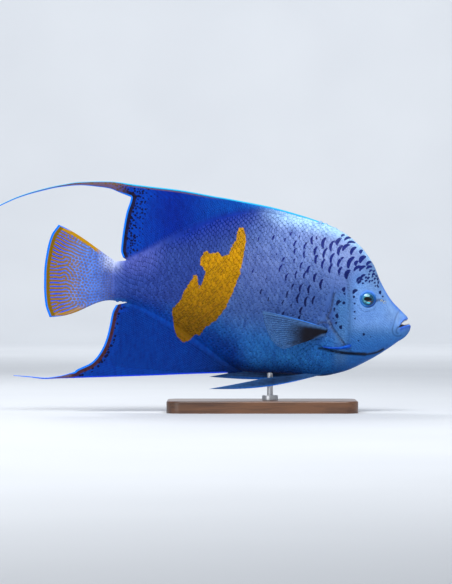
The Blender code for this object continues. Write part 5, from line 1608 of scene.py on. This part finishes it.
def paired_fin_material(name, membrane, dark, on_rays, bright, rim, clear):
    """A thin membrane over fine rays, darker towards its root, with a bright rim."""
    finish, w, out = surface(name, Roughness=0.5, Specular_IOR_Level=0.1)
    ray, span, edge = w.value("ray"), w.value("span"), w.value("edge")
    single = w.step(w.math("COSINE", w.times(ray, 2 * pi)), 0.1, 0.9)
    forked = w.step(w.math("COSINE", w.times(ray, 4 * pi)), 0.2, 0.9)
    fork = w.step(span, 0.85, 1.0)
    on_ray = w.sum(w.times(forked, fork), w.times(single, w.rest(fork)))
    colour = w.mix(w.times(on_ray, 0.42), membrane, on_rays)
    colour = w.mix(w.times(w.step(w.noise(260, 3), 0.4, 0.7), 0.3), colour, dark)
    # The dusk mask darkens the dusky parts and, on the pectoral, its painted shade.
    colour = w.mix(w.value("dusk"), colour, dark)
    lit = w.times(w.step(edge, rim, rim / 2), w.step(ray, 1.6, 0.8))
    lit = w.times(lit, w.step(span, 0.05, 0.3), w.step(span, 1.05, 0.35))
    colour = w.mix(lit, colour, bright)
    w.feed(out["Base Color"], colour)
    kept = w.math("MAXIMUM", w.times(on_ray, w.step(span, 1.15, 0.8), 0.7), w.step(span, 0.75, 0.3))
    kept = w.math("MAXIMUM", kept, w.value("dusk"))
    kept = w.math("MAXIMUM", kept, w.step(ray, 1.6, 0.8))
    w.feed(out["Alpha"], w.sum(1.0 - clear, w.times(clear, kept)))
    joints = w.math("SINE", w.times(span, 150.0))
    w.feed(out["Normal"], w.bump(w.sum(on_ray, w.times(joints, 0.12)), 0.5, 0.0003))
    return finish


def paired_fin(name, middle, spread, share, rays, thick, reach, end_reach, dusk, finish):
    """A blade over a middle sheet, with ridges on its rays and a margin that thins out."""
    ray = spread * rays + 0 * share
    rim = np.minimum(np.minimum(spread, 1 - spread) * reach, (1 - share) * end_reach)
    half = (thick + split_rays(ray, share, 0.24)) * np.sqrt(unit((rim + 0.15) / 0.9))
    return blade(name, middle, half, {"ray": ray, "span": share, "edge": rim, "dusk": dusk}, finish)


def make_pectoral(word, side, finish):
    """A fan of rays held back and a little away from the flank."""
    columns, rows = PECTORAL_RAYS * PARTS_PER_RAY + 1, 26
    spread, share = np.linspace(0, 1, columns)[:, None], np.linspace(0, 1, rows)[None, :]
    upper, lower = (np.array(point, float) for point in PECTORAL_ROOT)
    root = upper + (lower - upper) * spread
    tips = smooth_path(PECTORAL_TIPS, columns)
    x = root[:, :1] + (tips[:, :1] - root[:, :1]) * share
    z = root[:, 1:] + (tips[:, 1:] - root[:, 1:]) * share + 1.2 * np.sin(pi * share) * (1 - spread)
    skin = skin_half_plain(root[:, 0], root[:, 1])[:, None] - 1.1
    out = PECTORAL_SPREAD * share**0.9 - 1.5 + 2 * np.sin(pi * spread) * share
    ripple = 0.35 * np.sin(spread * 19) * share**2
    middle = np.stack([x, side * (skin + out + ripple), z], axis=-1)
    wedge = ease(0.1, 0.35, spread) * fall(0.25, 0.7, share - 0.2 * spread)
    wedge = wedge * fall(-0.1, 0.15, spread - 0.6 - 1.4 * share)
    # The dark wedge from the root is the fin's own colour; the dark strip along the lower edge is painted
    # shade.
    low_edge_shade = ease(0.7, 0.86, spread) * ease(0.25, 0.45, share) * fall(0.6, 0.95, share)
    dusk = 0.97 * np.maximum(wedge, 0.8 * low_edge_shade)
    thick = 0.3 + 1.5 * (1 - share) ** 3
    reach = 12 + 45 * share
    name = f"pectoral_blade_{word}"
    made = paired_fin(name, middle, spread, share, PECTORAL_RAYS, thick, reach, 60, dusk, finish)
    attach(made, "root")
    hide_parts(f"pectoral_fin_{word}")


def make_pelvic(word, side, lift, splay, finish):
    """A long pointed fin folded back under the belly, its tip raised and spread by the given lengths."""
    columns, rows = PELVIC_RAYS * PARTS_PER_RAY + 1, 60
    spread, share = np.linspace(0, 1, columns)[:, None], np.linspace(0, 1, rows)[None, :]
    root_x = PELVIC_ROOT_X[0] + (PELVIC_ROOT_X[1] - PELVIC_ROOT_X[0]) * spread
    root_z = monotone(BELLY_LINE, root_x) + 2.2
    tips = smooth_path(PELVIC_TIPS, columns)
    x = root_x + (tips[:, :1] - root_x) * share
    z = root_z + (tips[:, 1:] + lift - root_z) * share
    z = z + (0.1 * lift - (1 - spread) * PELVIC_SAG) * np.sin(pi * share)
    across = PELVIC_ROOT_Y + splay * share + spread * (2.6 * (1 - share) - 1.2 * share)
    middle = np.stack([x, side * across, z], axis=-1)
    thick = 0.3 + (0.9 + 0.7 * (1 - spread) ** 4) * (1 - share) ** 2
    dusk = 0.55 * ease(0.05, 0.4, share) * fall(0.6, 1, share) * ease(0.1, 0.5, spread)
    reach = 15 + 10 * share
    name = f"pelvic_blade_{word}"
    made = paired_fin(name, middle, spread, share, PELVIC_RAYS, thick, reach, 80, dusk, finish)
    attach(made, "root")
    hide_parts(f"pelvic_fin_{word}")


BASE_LENGTH, BASE_WIDTH, BASE_THICK, BASE_CORNER, BASE_BEVEL = 190, 84, 12, 14, 1.5
ROD_X, ROD_RADIUS, ROD_SINK = 8, 3, 8
COLLAR_RADIUS, COLLAR_HEIGHT, COLLAR_BEVEL = 8, 5, 1.0
SHARP_FROM = radians(40)
WOOD_DARK, WOOD_LIGHT, WOOD_FIBRE = srgb(74, 46, 30), srgb(112, 74, 48), srgb(40, 24, 16)
STEEL_DARK, STEEL_LIGHT = srgb(168, 170, 174), srgb(206, 208, 212)


def wood_material():
    finish, w, out = surface("stand_dark_wood", Roughness=0.36, Coat_Weight=0.35, Coat_Roughness=0.22)
    rings = w.noise(26, 4, (0.35, 3.2, 3.2), 0.6)
    fibre = w.noise(700, 3, (0.06, 1, 1))
    colour = w.mix(w.step(rings, 0.35, 0.65), WOOD_DARK, WOOD_LIGHT)
    colour = w.mix(w.times(w.step(fibre, 0.45, 0.75), 0.45), colour, WOOD_FIBRE)
    w.feed(out["Base Color"], colour)
    w.feed(out["Roughness"], w.sum(0.3, w.times(fibre, 0.2)))
    w.feed(out["Normal"], w.bump(fibre, 0.15, 0.0002))
    return finish


def metal_material():
    finish, w, out = surface("stand_brushed_steel", Metallic=1.0, Roughness=0.3)
    hair = w.noise(2600, 2, (1, 1, 0.04))
    w.feed(out["Base Color"], w.mix(hair, STEEL_DARK, STEEL_LIGHT))
    w.feed(out["Roughness"], w.sum(0.2, w.times(hair, 0.22)))
    w.feed(out["Normal"], w.bump(hair, 0.08, 0.0001))
    return finish


def turned(name, radii, finish, parts=72):
    """A round piece from (radius, height) pairs, closed at both ends."""
    turns_round = [2 * pi * k / parts for k in range(parts)]
    vertices = [(ROD_X + radius * cos(turn), radius * sin(turn), height)
                for radius, height in radii for turn in turns_round]
    made = place(name, mesh_of(name, vertices, tube_faces(len(radii), parts, lids=True)), finish)
    made.data.set_sharp_from_angle(angle=SHARP_FROM)
    return made


def make_base(finish):
    """A flat board with round corners and a softened upper rim."""
    size = (BASE_LENGTH, BASE_WIDTH, BASE_THICK)
    body = bmesh.new()
    cube = bmesh.ops.create_cube(body, size=1)
    for vertex in cube["verts"]:
        vertex.co.z += 0.5
        vertex.co = Vector([vertex.co[k] * size[k] for k in range(3)]) * MM
    high = BASE_THICK * MM
    upright = [edge for edge in body.edges if abs(edge.verts[0].co.z - edge.verts[1].co.z) > high / 2]
    bmesh.ops.bevel(body, geom=upright, offset=BASE_CORNER * MM, segments=16, affect="EDGES", profile=0.5)
    rim = [edge for edge in body.edges if all(v.co.z > high * 0.99 for v in edge.verts)]
    bmesh.ops.bevel(body, geom=rim, offset=BASE_BEVEL * MM, segments=5, affect="EDGES", profile=0.5)
    base = place("display_base", finished("display_base", body), finish)
    base.data.set_sharp_from_angle(angle=SHARP_FROM)
    return base


def make_stand(wood, metal):
    """The base with a collar on it and a rod that ends inside the belly."""
    base = make_base(wood)
    floor, top = BASE_THICK + 0.3, BASE_THICK + COLLAR_HEIGHT
    profile = [(COLLAR_RADIUS, floor), (COLLAR_RADIUS, top - COLLAR_BEVEL), (COLLAR_RADIUS - 0.3, top - 0.3),
               (COLLAR_RADIUS - COLLAR_BEVEL, top)]
    collar = turned("display_collar", profile, metal)
    belly = float(monotone(BELLY_LINE, ROD_X))
    rod = turned("display_rod", [(ROD_RADIUS, top - 1), (ROD_RADIUS, belly + ROD_SINK)], metal)
    for piece, node, label in ((base, "stand_base", "stand_wood"), (collar, "stand_collar", "stand_metal"),
                               (rod, "stand_rod", "stand_metal")):
        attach(piece, "root")
        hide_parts(node)


FLOOR_END, FLOOR_REACH, WALL_BEND, WALL_TOP = 3900, 9000, 1200, 6000
FLOOR_SHADE, FLOOR_PALE = srgb(196, 200, 206), srgb(208, 212, 217)


def make_stage():
    """A pale floor that runs up into a pale wall behind the model."""
    finish, w, out = surface("studio_floor", Roughness=0.7)
    w.feed(out["Base Color"], w.mix(w.noise(3, 2), FLOOR_SHADE, FLOOR_PALE))
    profile = [(-FLOOR_REACH, 0), (FLOOR_END, 0)]
    profile += [(FLOOR_END + WALL_BEND * sin(t), WALL_BEND * (1 - cos(t)))
                for t in np.linspace(0.08, pi / 2, 22)]
    profile += [(FLOOR_END + WALL_BEND, WALL_TOP)]
    vertices = [(x * MM, y * MM, z * MM) for y, z in profile for x in (-FLOOR_REACH, FLOOR_REACH)]
    faces = [(2 * k, 2 * k + 1, 2 * k + 3, 2 * k + 2) for k in range(len(profile) - 1)]
    mesh = bpy.data.meshes.new("studio_sweep")
    mesh.from_pydata(vertices, [], faces)
    place("studio_sweep", mesh, finish)


def add_light(name, spot, aim, size, power):
    data = bpy.data.lights.new(name, "AREA")
    data.shape = "RECTANGLE"
    data.size, data.size_y = size
    data.energy = power
    made = place(name, data, smooth=False)
    made.location = spot
    made.rotation_euler = (Vector(aim) - Vector(spot)).to_track_quat("-Z", "Y").to_euler()


CAMERA_PLACE, CAMERA_FIELD = (-0.036, -3.0, 0.120), 0.584


def make_camera():
    """Looks straight at the right side, with the photo's framing."""
    data = bpy.data.cameras.new("camera")
    data.lens = 36 * -CAMERA_PLACE[1] / CAMERA_FIELD
    camera = place("camera", data, smooth=False)
    camera.location = CAMERA_PLACE
    camera.rotation_euler = (pi / 2, 0, 0)
    bpy.context.scene.camera = camera


def make_light():
    world = bpy.data.worlds.new("studio")
    world.use_nodes = True
    world.node_tree.nodes["Background"].inputs["Color"].default_value = (0.9, 0.94, 1.0, 1)
    world.node_tree.nodes["Background"].inputs["Strength"].default_value = 0.5
    bpy.context.scene.world = world
    middle = (-0.03, 0, 0.12)
    add_light("key", (0.2, -0.75, 1.5), middle, (0.9, 0.7), 24)
    add_light("fill", (-0.9, -1.4, 0.5), middle, (1.0, 1.0), 5)
    add_light("rim", (-0.5, 0.9, 1.0), middle, (0.8, 0.5), 9)
    add_light("wall", (0.0, 2.4, 2.4), (0, 4.9, 0.8), (2.4, 1.0), 75)
    bpy.context.scene.view_settings.view_transform = "Standard"


MAZES = {side: tail_maze(side) for side in (RIGHT, LEFT)}


def make_fish_skin(sheet, group):
    skin = place("fish_skin", make_skin(sheet), skin_material(group))
    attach(skin, "root")
    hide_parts("head", "torso", "tail_stem", "gill_cover_left", "gill_cover_right", "upper_jaw",
                "lower_jaw", "dorsal_fin_spiny", "dorsal_fin_soft", "dorsal_streamer", "anal_fin",
                "anal_streamer", "tail_fin")


def make_coats(grids, group):
    """Five coats of scales on each side, as (name, places, rise, tone, height on a fin)."""
    tree = scale_tree(scale_material(group))
    for word, side in SIDES:
        places = body_scales(grids, side)
        dorsal = fin_scales(grids["dorsal"], side, 41, 0.6, 0.66, (2.2, 2.7), 21)
        anal = fin_scales(grids["anal"], side, 51, 0.6, 0.66, (2.2, 2.7), 12)
        tail = fin_scales(grids["tail"], side, 61, 0.5, 0.5, (1.6, 2.6), 20)
        coats = (("body_scales", share_scales(places, False), 0.2, 0.85, off_fins),
                 ("head_scales", share_scales(places, True), 0.2, 0.85, off_fins),
                 ("dorsal_scales", dorsal, 0.2, 0.7, over_back), ("anal_scales", anal, 0.2, 0.7, under_belly),
                 ("tail_scales", tail, 0.16, 0.8, off_fins))
        for seed, (name, places, rise, tone, height) in enumerate(coats, 17 if side == LEFT else 7):
            coat = make_scales(f"{name}_{word}", places, side, tree, seed, rise * MM, tone, height)
            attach(coat, "root")


def make_trims():
    """The eyes, the rings round eyes and nostrils, the cheek spines and the paired fins."""
    eye = eye_material()
    ring = orbit_material()
    nostril = plain_skin("nostril_rim", NOSTRIL_PALE, NOSTRIL_BLUE, 0.4)
    spine = plain_skin("preopercle_spine_blue", SPINE_BLUE, SPINE_DEEP, 0.4)
    pectoral = paired_fin_material("pectoral_fin_film", *PECTORAL_COLOURS, 1.4, 0.72)
    pelvic = paired_fin_material("pelvic_fin_film", *PELVIC_COLOURS, 5.0, 0.1)
    for word, side in SIDES:
        make_eye(word, side, eye)
        ring_on_skin(f"orbit_ring_{word}", side, EYE_X, EYE_Z, ORBIT_RADIUS, ORBIT_THICK, ORBIT_LIFT, ring)
        for k, (x, z, radius) in enumerate(NOSTRILS):
            ring_on_skin(f"nostril_rim_{word}_{k + 1}", side, x, z, radius, NOSTRIL_THICK, NOSTRIL_LIFT,
                         nostril, 1.1, 28, 8)
        make_cheek_spine(word, side, spine)
        make_pectoral(word, side, pectoral)
        make_pelvic(word, side, *PELVIC_POSE[side], pelvic)


def main():
    make_camera()
    make_light()
    make_stage()
    group = fish_colours()
    sheet, grids = build_side()
    make_fish_skin(sheet, group)
    make_coats(grids, group)
    make_trims()
    make_tongue()
    make_teeth(grids)
    make_stand(wood_material(), metal_material())


main()
